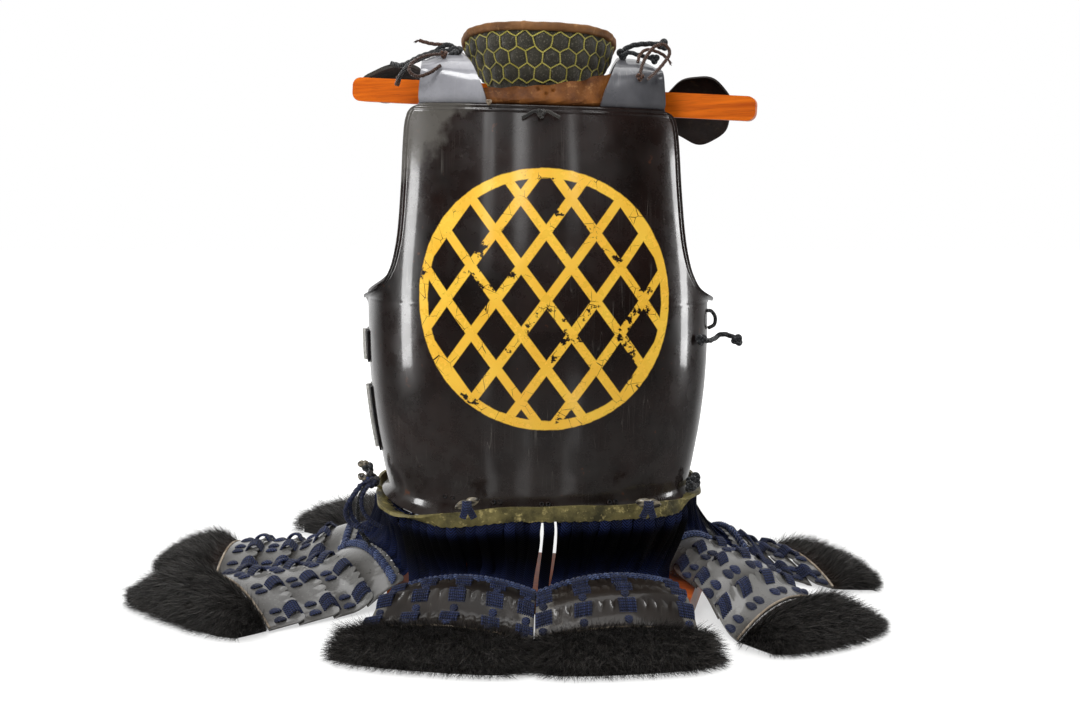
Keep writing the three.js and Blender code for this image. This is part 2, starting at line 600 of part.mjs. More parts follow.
// The lacing between the belt and a panel: a sheet of cords that bellies between its two ends.
function curtain(panel) {
  const thickness = 2.5;
  const middle = (name) => point(...panel[`${name}From`]).lerp(point(...panel[`${name}To`]), 0.5);
  const out = middle('hem').sub(middle('top')).setZ(0).normalize();
  const at = (u, v) => {
    const a = hung(onBelt(mix(panel.from, panel.to, u), belt.height + 2 * seam, belt.wall - 1));
    const d = onPanel(panel, (2 * u - 1) * 0.96, 0.05, lameWall + thickness + 1);
    const b = a.clone().addScaledVector(out, 5).add(point(0, 0, -26));
    const c = d.clone().addScaledVector(out, -22).add(point(0, 0, 6));
    return new THREE.CubicBezierCurve3(a, b, c, d).getPoint(v);
  };
  return wall(at, evenly(8), evenly(6), thickness, -1);
}

function buildPanels() {
  panels.forEach((panel) => {
    add(part, `skirt_panel_${panel.name}`, lamePlate(panel), finishes.lameLacquer);
    add(part, `fur_trim_${panel.name}`, furPad(panel), finishes.fur);
    add(part, `lacing_${panel.name}`, curtain(panel), finishes.navyCord);
  });
}

// ---- cords and toggles ------------------------------------------------------------------------------

function buildCords() {
  cords.forEach(({ name, diameter, colour, points }) => {
    add(part, name, tube(points, diameter, 2 * (points.length - 1)), finishes[colour]);
  });
}

function buildToggles() {
  toggles.forEach(({ name, middle, half, tilt }) => {
    const toggle = new THREE.SphereGeometry(1, 12, 8).scale(...half);
    toggle.rotateY(-tilt * degrees).translate(...middle);
    add(part, `toggle_${name}`, toggle, finishes.horn);
  });
}

buildStand();
buildPlates();
buildHinges();
buildStraps();
buildPads();
buildNeckLeather();
buildCollar();
buildWings();
buildBelt();
buildPanels();
buildCords();
buildToggles();

export default part;
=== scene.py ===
import math
from functools import partial
import bpy
import numpy as np
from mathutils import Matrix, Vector


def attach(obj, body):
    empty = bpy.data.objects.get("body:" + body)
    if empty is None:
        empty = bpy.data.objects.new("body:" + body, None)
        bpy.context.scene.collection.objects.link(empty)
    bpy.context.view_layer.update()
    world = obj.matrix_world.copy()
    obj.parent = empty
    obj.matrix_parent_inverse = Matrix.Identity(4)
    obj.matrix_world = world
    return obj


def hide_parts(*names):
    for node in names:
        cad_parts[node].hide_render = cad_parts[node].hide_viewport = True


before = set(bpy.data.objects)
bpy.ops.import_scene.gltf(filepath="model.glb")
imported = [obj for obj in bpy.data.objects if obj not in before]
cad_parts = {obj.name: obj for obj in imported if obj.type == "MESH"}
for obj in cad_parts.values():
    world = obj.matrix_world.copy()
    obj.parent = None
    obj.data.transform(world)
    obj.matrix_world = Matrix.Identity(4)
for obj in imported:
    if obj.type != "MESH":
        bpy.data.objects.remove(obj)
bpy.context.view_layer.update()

# A samurai armour hung on its stand. Shapes are worked out in millimetres and made in metres.
random = np.random.default_rng(11)

# camera, light and floor
view = {"place": (0, -1.5436, 0.4325), "pitch": 0.127, "lens": 52.32, "sensor": 36}
camera = bpy.data.objects.new("camera", bpy.data.cameras.new("camera"))
camera.location = view["place"]
camera.rotation_euler = (math.pi / 2 - view["pitch"], 0, 0)
camera.data.lens = view["lens"]
camera.data.sensor_width = view["sensor"]
bpy.context.collection.objects.link(camera)
bpy.context.scene.camera = camera


def hexColour(code):
    # an sRGB hex value as the linear colour that shaders use
    values = np.array([int(code[i:i + 2], 16) for i in (1, 3, 5)]) / 255
    linear = np.where(values <= 0.04045, values / 12.92, ((values + 0.055) / 1.055) ** 2.4)
    return (*linear, 1.0)


def setInputs(target, inputs):
    # inputs by name, or in the node's own order: numbers, hex colours, sockets or nodes
    for key, value in inputs.items() if isinstance(inputs, dict) else enumerate(inputs):
        if isinstance(value, bpy.types.Node):
            value = value.outputs[0]
        if isinstance(value, bpy.types.NodeSocket):
            target.id_data.links.new(value, target.inputs[key])
        else:
            target.inputs[key].default_value = hexColour(value) if isinstance(value, str) else value


def addNode(tree, kind, inputs=(), operation=None, **settings):
    # one shader node: settings are its own values, and inputs are what its sockets get
    made = tree.nodes.new("ShaderNode" + kind)
    if operation:
        made.operation = operation
    for key, value in settings.items():
        setattr(made, key, value)
    setInputs(made, inputs)
    return made


lights = [
    # soft boxes: two high ones beside the camera, a strip at each side, one overhead and one from behind
    {"name": "keyBox", "place": (-0.85, -1.9, 1.75), "size": (0.6, 0.9), "power": 30},
    {"name": "rightBox", "place": (1.0, -1.9, 1.5), "size": (0.4, 0.9), "power": 10},
    {"name": "leftStrip", "place": (-1.7, -0.5, 0.3), "size": (0.35, 0.75), "power": 13},
    {"name": "rightStrip", "place": (1.7, 0.12, 0.3), "size": (0.3, 0.7), "power": 9},
    {"name": "topBox", "place": (0.0, 0.1, 1.9), "size": (1.5, 1.5), "power": 20},
    {"name": "behindBox", "place": (0.5, 2.0, 1.6), "size": (1.0, 0.7), "power": 16},
]
for row in lights:
    lamp = bpy.data.lights.new(row["name"], "AREA")
    lamp.shape = "RECTANGLE"
    lamp.size, lamp.size_y = row["size"]
    lamp.energy = row["power"]
    holder = bpy.data.objects.new(row["name"], lamp)
    holder.location = row["place"]
    toMiddle = Vector((0, 0, 0.25)) - holder.location
    holder.rotation_euler = toMiddle.to_track_quat("-Z", "Y").to_euler()
    holder.visible_glossy = row["name"] != "behindBox"
    bpy.context.collection.objects.link(holder)

# a white room for the eye and soft fill from above; gloss mirrors a dark room with three pale windows ahead,
# a dim floor, and the white paper behind the armour, brighter on the left
world = bpy.data.worlds.new("studio")
world.use_nodes = True
room = world.node_tree
roomNode = partial(addNode, room)
way = roomNode("SeparateXYZ", (roomNode("TexCoord").outputs["Generated"],))
behind = roomNode("MapRange", (way.outputs["Y"], 0.3, 0.95, 0.015, 0.8), interpolation_type="SMOOTHSTEP")
leaning = roomNode("MapRange", (way.outputs["X"], -0.7, 0.7, 1.5, 0.55))
paper = roomNode("Math", (behind, leaning), "MULTIPLY")
ahead = roomNode("Math", (way.outputs["Y"], -1.0), "MULTIPLY")
bearing = roomNode("Math", (way.outputs["X"], ahead), "ARCTAN2")
turns = roomNode("Math", (bearing, 2 * math.pi / math.radians(15)), "MULTIPLY")
pulse = roomNode("Math", (turns,), "COSINE")
panes = roomNode("MapRange", (pulse, -0.3, 1.0), interpolation_type="SMOOTHSTEP")
off = roomNode("Math", (bearing,), "ABSOLUTE")
three = roomNode("MapRange", (off, 0.33, 0.42, 1, 0))
level = roomNode("MapRange", (way.outputs["Z"], 0.03, 0.2, 0, 5.5), interpolation_type="SMOOTHSTEP")
broken = roomNode("TexNoise", {"Vector": roomNode("TexCoord").outputs["Generated"], "Scale": 7, "Detail": 2})
clear = roomNode("MapRange", (broken, 0.42, 0.6, 0.15))
whole = roomNode("Math", (panes, three), "MULTIPLY")
strip = roomNode("Math", (whole, clear), "MULTIPLY")
low = roomNode("MapRange", (way.outputs["Z"], -0.08, -0.3, 0, 0.2))
shine = roomNode("MapRange", (strip, 0, 1, 1, 7))
dim = roomNode("Math", (low, shine), "MULTIPLY")
window = roomNode("Math", (strip, level), "MULTIPLY")
ground = roomNode("Math", (window, dim), "MAXIMUM")
mirrored = roomNode("Math", (paper, ground), "MAXIMUM")
rays = roomNode("LightPath")
soft = roomNode("MapRange", (way.outputs["Z"], -0.1, 0.7, 0.1, 0.5))
fill = roomNode("MapRange", (rays.outputs["Is Glossy Ray"], 0, 1, soft, mirrored))
seen = roomNode("MapRange", (rays.outputs["Is Camera Ray"], 0, 1, fill, 1))
setInputs(room.nodes["Background"], {"Color": "#ffffff", "Strength": seen})
bpy.context.scene.world = world
bpy.context.scene.view_settings.view_transform = "Standard"


# making meshes from arrays
def makePiece(name, body, finish, nodes=(), sharp=40):
    # a body is points in millimetres, arrays of face corners, and the pattern's place at each point
    mesh = bpy.data.meshes.new(name)
    points, faceSets, place = (*body, None)[:3]
    points = np.asarray(points, float).reshape(-1, 3)
    loops = np.concatenate([faces.ravel() for faces in faceSets])
    sizes = np.concatenate([np.full(len(faces), faces.shape[1]) for faces in faceSets])
    mesh.vertices.add(len(points))
    mesh.vertices.foreach_set("co", (points / 1000).ravel())
    mesh.loops.add(len(loops))
    mesh.loops.foreach_set("vertex_index", loops.astype(np.int32))
    mesh.polygons.add(len(sizes))
    mesh.polygons.foreach_set("loop_start", np.concatenate([[0], np.cumsum(sizes)[:-1]]).astype(np.int32))
    if place is not None:
        layer = mesh.attributes.new("place", "FLOAT_VECTOR", "POINT")
        layer.data.foreach_set("vector", np.asarray(place, float).ravel())
    mesh.update(calc_edges=True)
    mesh.validate()
    mesh.shade_smooth()
    mesh.set_sharp_from_angle(angle=math.radians(sharp))
    mesh.materials.append(finishes[finish])
    piece = bpy.data.objects.new(name, mesh)
    bpy.context.collection.objects.link(piece)
    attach(piece, "root")
    if nodes:
        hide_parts(*nodes)
    return piece


def unit(vectors):
    return vectors / np.maximum(np.linalg.norm(vectors, axis=-1, keepdims=True), 1e-12)


def normalsOf(grid):
    # across the two directions in which the grid runs
    return unit(np.cross(np.gradient(grid, axis=0), np.gradient(grid, axis=1)))


def gridFaces(rows, columns, start=0):
    # the quads of a grid of points, and the corner order that faces its normals
    index = start + np.arange(rows * columns).reshape(rows, columns)
    return np.stack([index[:-1, :-1], index[1:, :-1], index[1:, 1:], index[:-1, 1:]], -1).reshape(-1, 4)


def closedWall(outer, inner):
    # two grids of points joined along all four edges into one closed body, with its faces outwards
    rows, columns = outer.shape[:2]
    count = rows * columns
    index = np.arange(count).reshape(rows, columns)
    rim = np.concatenate([index[:-1, 0], index[-1, :-1], index[:0:-1, -1], index[0, :0:-1]])
    after = np.roll(rim, -1)
    sides = np.stack([after, rim, rim + count, after + count], -1)
    faces = np.concatenate([gridFaces(rows, columns), gridFaces(rows, columns, count)[:, ::-1], sides])
    points = np.concatenate([outer.reshape(-1, 3), inner.reshape(-1, 3)])
    return points, faces if np.sum((outer - inner) * normalsOf(outer)) > 0 else faces[:, ::-1]


def sweep(paths, across, up, section, scale=None):
    # many closed tubes at once: paths (K, n, 3), the section's two directions along them, its points (m, 2)
    many, steps = paths.shape[:2]
    sides = len(section)
    scale = np.ones((many, steps)) if scale is None else np.broadcast_to(scale, (many, steps))
    offset = scale[:, :, None, None] * (across[:, :, None] * section[:, 0, None]
                                        + up[:, :, None] * section[:, 1, None])
    points = paths[:, :, None] + offset
    index = np.arange(many * steps * sides).reshape(many, steps, sides)
    turned = np.roll(index, -1, axis=2)
    quads = np.stack([index[:, :-1], turned[:, :-1], turned[:, 1:], index[:, 1:]], -1).reshape(-1, 4)
    caps = np.concatenate([index[:, 0, ::-1], index[:, -1]])
    return points.reshape(-1, 3), [quads, caps]


def oval(halfWidth, halfHeight, sides=8, power=1.0):
    # a closed section round a path, squarer as the power falls below one
    turn = np.arange(sides) / sides * 2 * np.pi
    c, s = np.cos(turn), np.sin(turn)
    return np.stack([halfWidth * np.sign(c) * np.abs(c) ** power,
                     halfHeight * np.sign(s) * np.abs(s) ** power], -1)


def joined(*bodies):
    # several (points, faceSets, place) bodies as one
    points, faceSets, places = [], [], []
    start = 0
    for body in bodies:
        points.append(body[0])
        faceSets += [faces + start for faces in body[1]]
        places.append(body[2])
        start += len(body[0])
    return np.concatenate(points), faceSets, np.concatenate(places)


def lengthsAlong(paths):
    # distance run along each path at each of its points
    steps = np.linalg.norm(np.diff(paths, axis=-2), axis=-1)
    return np.concatenate([np.zeros(steps.shape[:-1] + (1,)), np.cumsum(steps, axis=-1)], axis=-1)


def placeOnTubes(paths, sides, section=None):
    # pattern coordinates of a sweep: distance along, side position round, and a random tone for each tube
    many, steps = paths.shape[:2]
    along = np.broadcast_to(lengthsAlong(paths)[:, :, None], (many, steps, sides))
    around = np.broadcast_to(np.arange(sides) / sides if section is None else section[:, 0],
                             (many, steps, sides))
    tone = np.broadcast_to(random.random(many)[:, None, None], (many, steps, sides))
    return np.stack([along, around, tone], -1).reshape(-1, 3)


def smooth(keys, values, x):
    # cubic through a table's rows, whose slope at each row is taken from the rows on its two sides
    keys, values = np.asarray(keys, float), np.asarray(values, float)
    rows = np.arange(len(keys))
    before, after = np.maximum(rows - 1, 0), np.minimum(rows + 1, len(keys) - 1)
    slope = ((values[after] - values[before]).T / (keys[after] - keys[before])).T
    x = np.clip(x, keys[0], keys[-1])
    i = np.clip(np.searchsorted(keys, x, side="right") - 1, 0, len(keys) - 2)
    span = keys[i + 1] - keys[i]
    t = (x - keys[i]) / span
    if values.ndim > 1:
        t, span = t[..., None], span[..., None]
    return ((2 * t ** 3 - 3 * t ** 2 + 1) * values[i] + (t ** 3 - 2 * t ** 2 + t) * span * slope[i]
            + (3 * t ** 2 - 2 * t ** 3) * values[i + 1] + (t ** 3 - t ** 2) * span * slope[i + 1])


def mix(a, b, t):
    return a + (b - a) * t


def stack3(x, y, z):
    return np.stack(np.broadcast_arrays(x, y, z), -1).astype(float)


# how the armour hangs, and the torso's form
hanging = {"turn": 3, "shift": -2, "askew": 1.6, "levelBelow": 110, "askewFrom": 483}
torso = {
    "z": [108, 112, 118, 140, 185, 235, 298, 340, 400, 483],
    "halfWidth": [147, 148, 149.5, 153.5, 161, 165.5, 166, 163, 156, 148],
    "halfDepth": [105, 106, 107, 111, 117, 121, 122, 120, 115, 107],
    "flare": [8, 3, 0, 0, 0, 0, 0, 0, 0, 0],
    "squareness": 2.35,
}


def hung(p):
    # lower towards +X the higher it is, then turned about the upright and moved across
    height = np.maximum((p[..., 2] - hanging["levelBelow"]) / (hanging["askewFrom"] - hanging["levelBelow"]),
                        0)
    z = p[..., 2] - p[..., 0] * np.tan(np.radians(hanging["askew"]) * height)
    c, s = math.cos(math.radians(hanging["turn"])), math.sin(math.radians(hanging["turn"]))
    return stack3(p[..., 0] * c - p[..., 1] * s + hanging["shift"], p[..., 0] * s + p[..., 1] * c, z)


def depthAt(x, a, b, power):
    return b * (1 - np.minimum(np.abs(x) / a, 1) ** power) ** (1 / power)


def onSection(turn, side, a, b, power):
    # point of a superellipse in the direction turn from the middle of its back, side -1, or front, side 1
    s, c = np.sin(turn), np.cos(turn)
    radius = ((np.abs(s) / a) ** power + (np.abs(c) / b) ** power) ** (-1 / power)
    return radius * s, side * radius * c


def torsoSize(z):
    flare = smooth(torso["z"], torso["flare"], z)
    return smooth(torso["z"], torso["halfWidth"], z) + flare, smooth(torso["z"], torso["halfDepth"],
                                                                     z) + flare


# finishes
def newMaterial(name, fixed):
    # a material whose fixed numbers are set on the shader's own sockets, and its own way to add a node
    material = bpy.data.materials.new(name)
    material.use_nodes = True
    shader = material.node_tree.nodes["Principled BSDF"]
    setInputs(shader, fixed)
    return material, partial(addNode, material.node_tree), shader


def lacquerFinish(name, tints, disc=None, **look):
    # urushi lacquer on iron plate: a deep glossy coat over a cloudy ground, hazed and scratched by wear
    material, node, shader = newMaterial(name, {"Coat Weight": look.get("coat", 0.6), "Coat Roughness": 0.08,
                                                "Specular IOR Level": 0.3})
    where = node("TexCoord").outputs["Object"]
    cloud = node("TexNoise", {"Vector": where, "Scale": 1000 / 70, "Detail": 6, "Roughness": 0.6})
    clouded = node("MapRange", (cloud, 0.36, 0.66))
    ground = node("MixRGB", (clouded, tints["deep"], tints["warm"]))
    height = node("SeparateXYZ", (where,)).outputs["Z"]
    low = node("MapRange", (height, 0.24, 0.12, 0, look.get("haze", 0.6)))
    smear = node("TexNoise", {"Vector": where, "Scale": 1000 / 26, "Detail": 8, "Roughness": 0.65})
    smeared = node("MapRange", (smear, 0.3, 0.72))
    haze = node("Math", (low, smeared), "MULTIPLY")
    hazed = node("MixRGB", (haze, ground, tints["haze"]))
    # rust coming through as small specks, thicker where the smears are
    speck = node("TexNoise", {"Vector": where, "Scale": 1000 / 5, "Detail": 3})
    cleared = node("Math", (speck, smeared), "MULTIPLY")
    specked = node("MapRange", (cleared, 0.5, 0.6, 0, 0.8))
    rusted = node("MixRGB", (specked, hazed, tints["rust"]))
    # long scratches: the thin zero line of a stretched noise, broken up by a second one
    last = rusted
    for turn, stretch, width in ((8, (150, 20, 5), 0.006), (61, (110, 20, 5), 0.005)):
        run = node("Mapping", {"Vector": where, "Rotation": (0, math.radians(turn), 0), "Scale": stretch})
        line = node("TexNoise", {"Vector": run, "Scale": 1, "Detail": 1})
        off = node("Math", (line, 0.5), "SUBTRACT")
        away = node("Math", (off,), "ABSOLUTE")
        near = node("MapRange", (away, 0, width, 1, 0))
        gate = node("TexNoise", {"Vector": where, "Scale": 1000 / 45, "Detail": 4})
        gated = node("MapRange", (gate, 0.52, 0.66, 0, 0.45))
        shown = node("Math", (near, gated), "MULTIPLY")
        last = node("MixRGB", (shown, last, tints["scratch"]))
    if "patch" in look:
        # an old repair over the upper corner: its slanting edge runs down from the plate's top
        slant = node("VectorMath", (where, (1, 0, -0.9)), "DOT_PRODUCT")
        wobble = node("MapRange", (cloud, 0, 1, -0.07, 0.07))
        edge = node("Math", (slant.outputs["Value"], wobble), "ADD")
        inside = node("MapRange", (edge, -0.488, -0.506, 0, 0.8))
        last = node("MixRGB", (inside, last, look["patch"]))
    if "lames" in look:
        # painted shade: each lame is darkened in the rust colour towards where the next lame laps over it, so
        # that it reads paler at its own top edge
        side = node("SeparateXYZ", (node("Attribute", attribute_name="place").outputs["Vector"],))
        part = node("Math", (side.outputs["Y"],), "FRACT")
        lapShade = node("MapRange", (part, 0.35, 0.99, 0, look["lames"]), interpolation_type="SMOOTHSTEP")
        last = node("MixRGB", (lapShade, last, tints["rust"]))
    if "margin" in look:
        # the worn outer parts of a lame, where the dark coat has gone to grey
        blurred = node("Math", (side.outputs["Z"], cloud), "ADD")
        outer = node("MapRange", (blurred, 1.3, 1.36))
        last = node("MixRGB", (outer, last, look["margin"]))
    rough = node("MapRange", (smear, 0.35, 0.75, look.get("shine", 0.2), look.get("shine", 0.2) + 0.22))
    dent = node("TexNoise", {"Vector": where, "Scale": 1000 / 60, "Detail": 2})
    bump = node("Bump", {"Height": dent, "Distance": 0.004, "Strength": 0.35})
    if disc:
        last, metal = goldDisc(node, last, disc)
        setInputs(shader, {"Metallic": metal})
    setInputs(shader, {"Base Color": last, "Roughness": rough, "Normal": bump})
    return material


goldDiscSizes = {"middle": (1.5, 305), "radius": 120, "rim": 9, "lozenge": (46, 62), "band": 0.115}


def goldDisc(node, under, disc):
    # a round of cracked gold leaf, with a lattice of plain lozenges left in the ground colour
    place = node("Attribute", attribute_name="place").outputs["Vector"]
    split = node("SeparateXYZ", (place,))
    across = node("Math", (split.outputs["X"], disc["middle"][0]), "SUBTRACT")
    above = node("Math", (split.outputs["Y"], disc["middle"][1]), "SUBTRACT")
    flat = node("CombineXYZ", (across, above))
    out = node("VectorMath", (flat,), "LENGTH").outputs["Value"]
    wobble = node("TexNoise", {"Vector": flat, "Scale": 1 / 9, "Detail": 3})
    ragged = node("MapRange", (wobble, 0, 1, -0.9, 0.9))
    edge = node("Math", (out, ragged), "ADD")
    inside = node("MapRange", (edge, disc["radius"] - 0.5, disc["radius"] + 0.5, 1, 0))
    rim = node("MapRange", (edge, disc["radius"] - disc["rim"] - 0.5, disc["radius"] - disc["rim"] + 0.5))
    bands = [rim]
    for sign in (1, -1):
        # bands where the place's two slanted coordinates come near a whole number
        slant = node("VectorMath", (flat, (1 / disc["lozenge"][0], sign / disc["lozenge"][1], 0)),
                     "DOT_PRODUCT")
        nearest = node("Math", (slant.outputs["Value"], 0.5), "ADD")
        part = node("Math", (nearest,), "FRACT")
        off = node("Math", (part, 0.5), "SUBTRACT")
        away = node("Math", (off,), "ABSOLUTE")
        band = node("MapRange", (away, disc["band"] - 0.01, disc["band"] + 0.01, 1, 0))
        bands.append(band)
    first = node("Math", (bands[0], bands[1]), "MAXIMUM")
    gilt = node("Math", (first, bands[2]), "MAXIMUM")
    crack = node("TexVoronoi", {"Vector": flat, "Scale": 1 / 13, "Randomness": 1}, feature="DISTANCE_TO_EDGE")
    parted = node("TexNoise", {"Vector": flat, "Scale": 1 / 24, "Detail": 2})
    gap = node("MapRange", (parted, 0.5, 0.6, 0, 0.014))
    whole = node("Math", (crack, gap), "GREATER_THAN")
    loss = node("TexNoise", {"Vector": flat, "Scale": 1 / 14, "Detail": 9, "Roughness": 0.7})
    lostWhere = node("TexNoise", {"Vector": flat, "Scale": 1 / 60, "Detail": 1})
    limit = node("MapRange", (lostWhere, 0.4, 0.62, 0.74, 0.56))
    left = node("Math", (limit, loss), "SUBTRACT")
    kept = node("MapRange", (left, 0.0, 0.025))
    sound = node("Math", (kept, whole), "MULTIPLY")
    shown = node("Math", (gilt, inside), "MULTIPLY")
    laid = node("Math", (shown, sound), "MULTIPLY")
    # the leaf is on the outer face alone, which looks away from the torso
    facing = node("SeparateXYZ", (node("NewGeometry").outputs["Normal"],)).outputs["Y"]
    outside = node("Math", (facing, 0.0), "LESS_THAN")
    fac = node("Math", (laid, outside), "MULTIPLY")
    sheen = node("TexNoise", {"Vector": flat, "Scale": 1 / 40, "Detail": 4})
    gold = node("MixRGB", (sheen, "#eda92c", "#ffd650"))
    full = node("MixRGB", (fac, under, gold))
    metal = node("Math", (fac, 0.12), "MULTIPLY")
    return full, metal


def leatherFinish(name, tints, size=1.6, rough=0.55):
    # hide smoked and rubbed: a pebbled grain, darker in the creases and paler where hands have worn it
    material, node, shader = newMaterial(name, {"Specular IOR Level": 0.22})
    where = node("TexCoord").outputs["Object"]
    cloud = node("TexNoise", {"Vector": where, "Scale": 1000 / 22, "Detail": 7, "Roughness": 0.62})
    clouded = node("MapRange", (cloud, 0.35, 0.65))
    ground = node("MixRGB", (clouded, tints["deep"], tints["pale"]))
    spot = node("TexNoise", {"Vector": where, "Scale": 1000 / 7, "Detail": 5, "Roughness": 0.7})
    spotted = node("MapRange", (spot, 0.56, 0.7, 0, 0.8))
    worn = node("MixRGB", (spotted, ground, tints["worn"]))
    pebble = node("TexVoronoi", {"Vector": where, "Scale": 1000 / size}, feature="SMOOTH_F1")
    bump = node("Bump", {"Height": pebble, "Distance": 0.0006, "Strength": 0.5})
    crease = node("Bump", {"Height": cloud, "Distance": 0.003, "Strength": 0.4, "Normal": bump})
    roughness = node("MapRange", (spot, 0, 1, rough - 0.12, rough + 0.15))
    setInputs(shader, {"Base Color": worn, "Roughness": roughness, "Normal": crease})
    return material


def clothFinish(name, tints, thread=1.1):
    # plain woven hemp, dyed black: a square weave with pale slubs and dust in it
    material, node, shader = newMaterial(name, {"Sheen Weight": 0.25, "Sheen Roughness": 0.5,
                                                "Roughness": 0.9, "Specular IOR Level": 0.2})
    where = node("TexCoord").outputs["Object"]
    slub = node("TexNoise", {"Vector": where, "Scale": 1000 / 1.6, "Detail": 3, "Roughness": 0.7})
    slubbed = node("MapRange", (slub, 0.56, 0.7, 0, 0.75))
    cloud = node("TexNoise", {"Vector": where, "Scale": 1000 / 18, "Detail": 5})
    ground = node("MixRGB", (cloud, tints["deep"], tints["pale"]))
    dusty = node("MixRGB", (slubbed, ground, tints["dust"]))
    weave = node("TexVoronoi", {"Vector": where, "Scale": 1000 / thread}, distance="CHEBYCHEV")
    bump = node("Bump", {"Height": weave, "Distance": 0.0008, "Strength": 0.8})
    setInputs(shader, {"Base Color": dusty, "Normal": bump})
    return material


def braidFinish(name, tints, plait=2.6, sheen=0.4, gloss=0.35):
    # dyed silk or cotton braid: slanted plaits that meet down its middle, each strand of its own tone
    material, node, shader = newMaterial(name, {"Sheen Weight": sheen, "Sheen Roughness": 0.4,
                                                "Roughness": 0.62, "Specular IOR Level": gloss})
    place = node("Attribute", attribute_name="place").outputs["Vector"]
    split = node("SeparateXYZ", (place,))
    fold = node("Math", (split.outputs["Y"],), "ABSOLUTE")
    slant = node("Math", (fold, 0.9), "MULTIPLY")
    run = node("Math", (split.outputs["X"], slant), "ADD")
    turns = node("Math", (run, 2 * math.pi / plait), "MULTIPLY")
    wave = node("Math", (turns,), "SINE")
    ridge = node("MapRange", (wave, -1, 1))
    tone = node("MixRGB", (split.outputs["Z"], tints["deep"], tints["pale"]))
    # painted shade: the grooves between the plaits are darkened to the groove colour
    shaded = node("MixRGB", (ridge, tints["groove"], tone))
    bump = node("Bump", {"Height": ridge, "Distance": 0.0008, "Strength": 0.7})
    setInputs(shader, {"Base Color": shaded, "Normal": bump})
    return material


def hairFinish(name, tints):
    # bear fur: glossy single hairs, brown at the root and black to the tip
    material, node, shader = newMaterial(name, {"Roughness": 0.45, "Specular IOR Level": 0.3})
    place = node("Attribute", attribute_name="place").outputs["Vector"]
    split = node("SeparateXYZ", (place,))
    tone = node("MixRGB", (split.outputs["Z"], tints["deep"], tints["pale"]))
    grown = node("MapRange", (split.outputs["Y"], 0.05, 0.4))
    whole = node("MixRGB", (grown, tints["root"], tone))
    setInputs(shader, {"Base Color": whole})
    return material


def woodFinish(name, tints, turn, slope=0.0):
    # softwood planed and stained, under clear varnish: long grain lines, fine pores and a soft warm gloss
    material, node, shader = newMaterial(name, {"Coat Weight": 0.06, "Coat Roughness": 0.12,
                                                "Specular IOR Level": 0.15})
    where = node("TexCoord").outputs["Object"]
    along = node("Mapping", {"Vector": where, "Rotation": (0, math.radians(slope), math.radians(-turn))})
    long = node("Mapping", {"Vector": along, "Scale": (0.06, 1, 1)})
    rings = node("TexNoise", {"Vector": long, "Scale": 1000 / 9, "Detail": 5, "Roughness": 0.6,
                              "Distortion": 0.4})
    ringed = node("MapRange", (rings, 0.35, 0.68))
    ground = node("MixRGB", (ringed, tints["deep"], tints["pale"]))
    pores = node("TexNoise", {"Vector": long, "Scale": 1000 / 1.2, "Detail": 3})
    pored = node("MapRange", (pores, 0.55, 0.75, 0, 0.45))
    full = node("MixRGB", (pored, ground, tints["pore"]))
    rough = node("MapRange", (rings, 0, 1, 0.3, 0.5))
    bump = node("Bump", {"Height": pores, "Distance": 0.0004, "Strength": 0.3})
    setInputs(shader, {"Base Color": full, "Roughness": rough, "Normal": bump})
    return material


def ironFinish(name, tints, rough=0.5):
    # forged iron, blacked and waxed, with a little rust in its hollows
    material, node, shader = newMaterial(name, {"Metallic": 0.7})
    where = node("TexCoord").outputs["Object"]
    pit = node("TexNoise", {"Vector": where, "Scale": 1000 / 4, "Detail": 6, "Roughness": 0.7})
    pitted = node("MapRange", (pit, 0.5, 0.72))
    full = node("MixRGB", (pitted, tints["deep"], tints["rust"]))
    roughness = node("MapRange", (pit, 0, 1, rough - 0.15, rough + 0.2))
    bump = node("Bump", {"Height": pit, "Distance": 0.0008, "Strength": 0.5})
    setInputs(shader, {"Base Color": full, "Roughness": roughness, "Normal": bump})
    return material


def hornFinish(name, tints):
    # buffalo horn, cut and polished: dark streaks in a pale brown ground
    material, node, shader = newMaterial(name, {"Roughness": 0.3, "Coat Weight": 0.3})
    where = node("TexCoord").outputs["Object"]
    long = node("Mapping", {"Vector": where, "Scale": (0.3, 1, 1)})
    streak = node("TexNoise", {"Vector": long, "Scale": 1000 / 3, "Detail": 4})
    streaked = node("MapRange", (streak, 0.42, 0.6))
    full = node("MixRGB", (streaked, tints["deep"], tints["pale"]))
    setInputs(shader, {"Base Color": full})
    return material


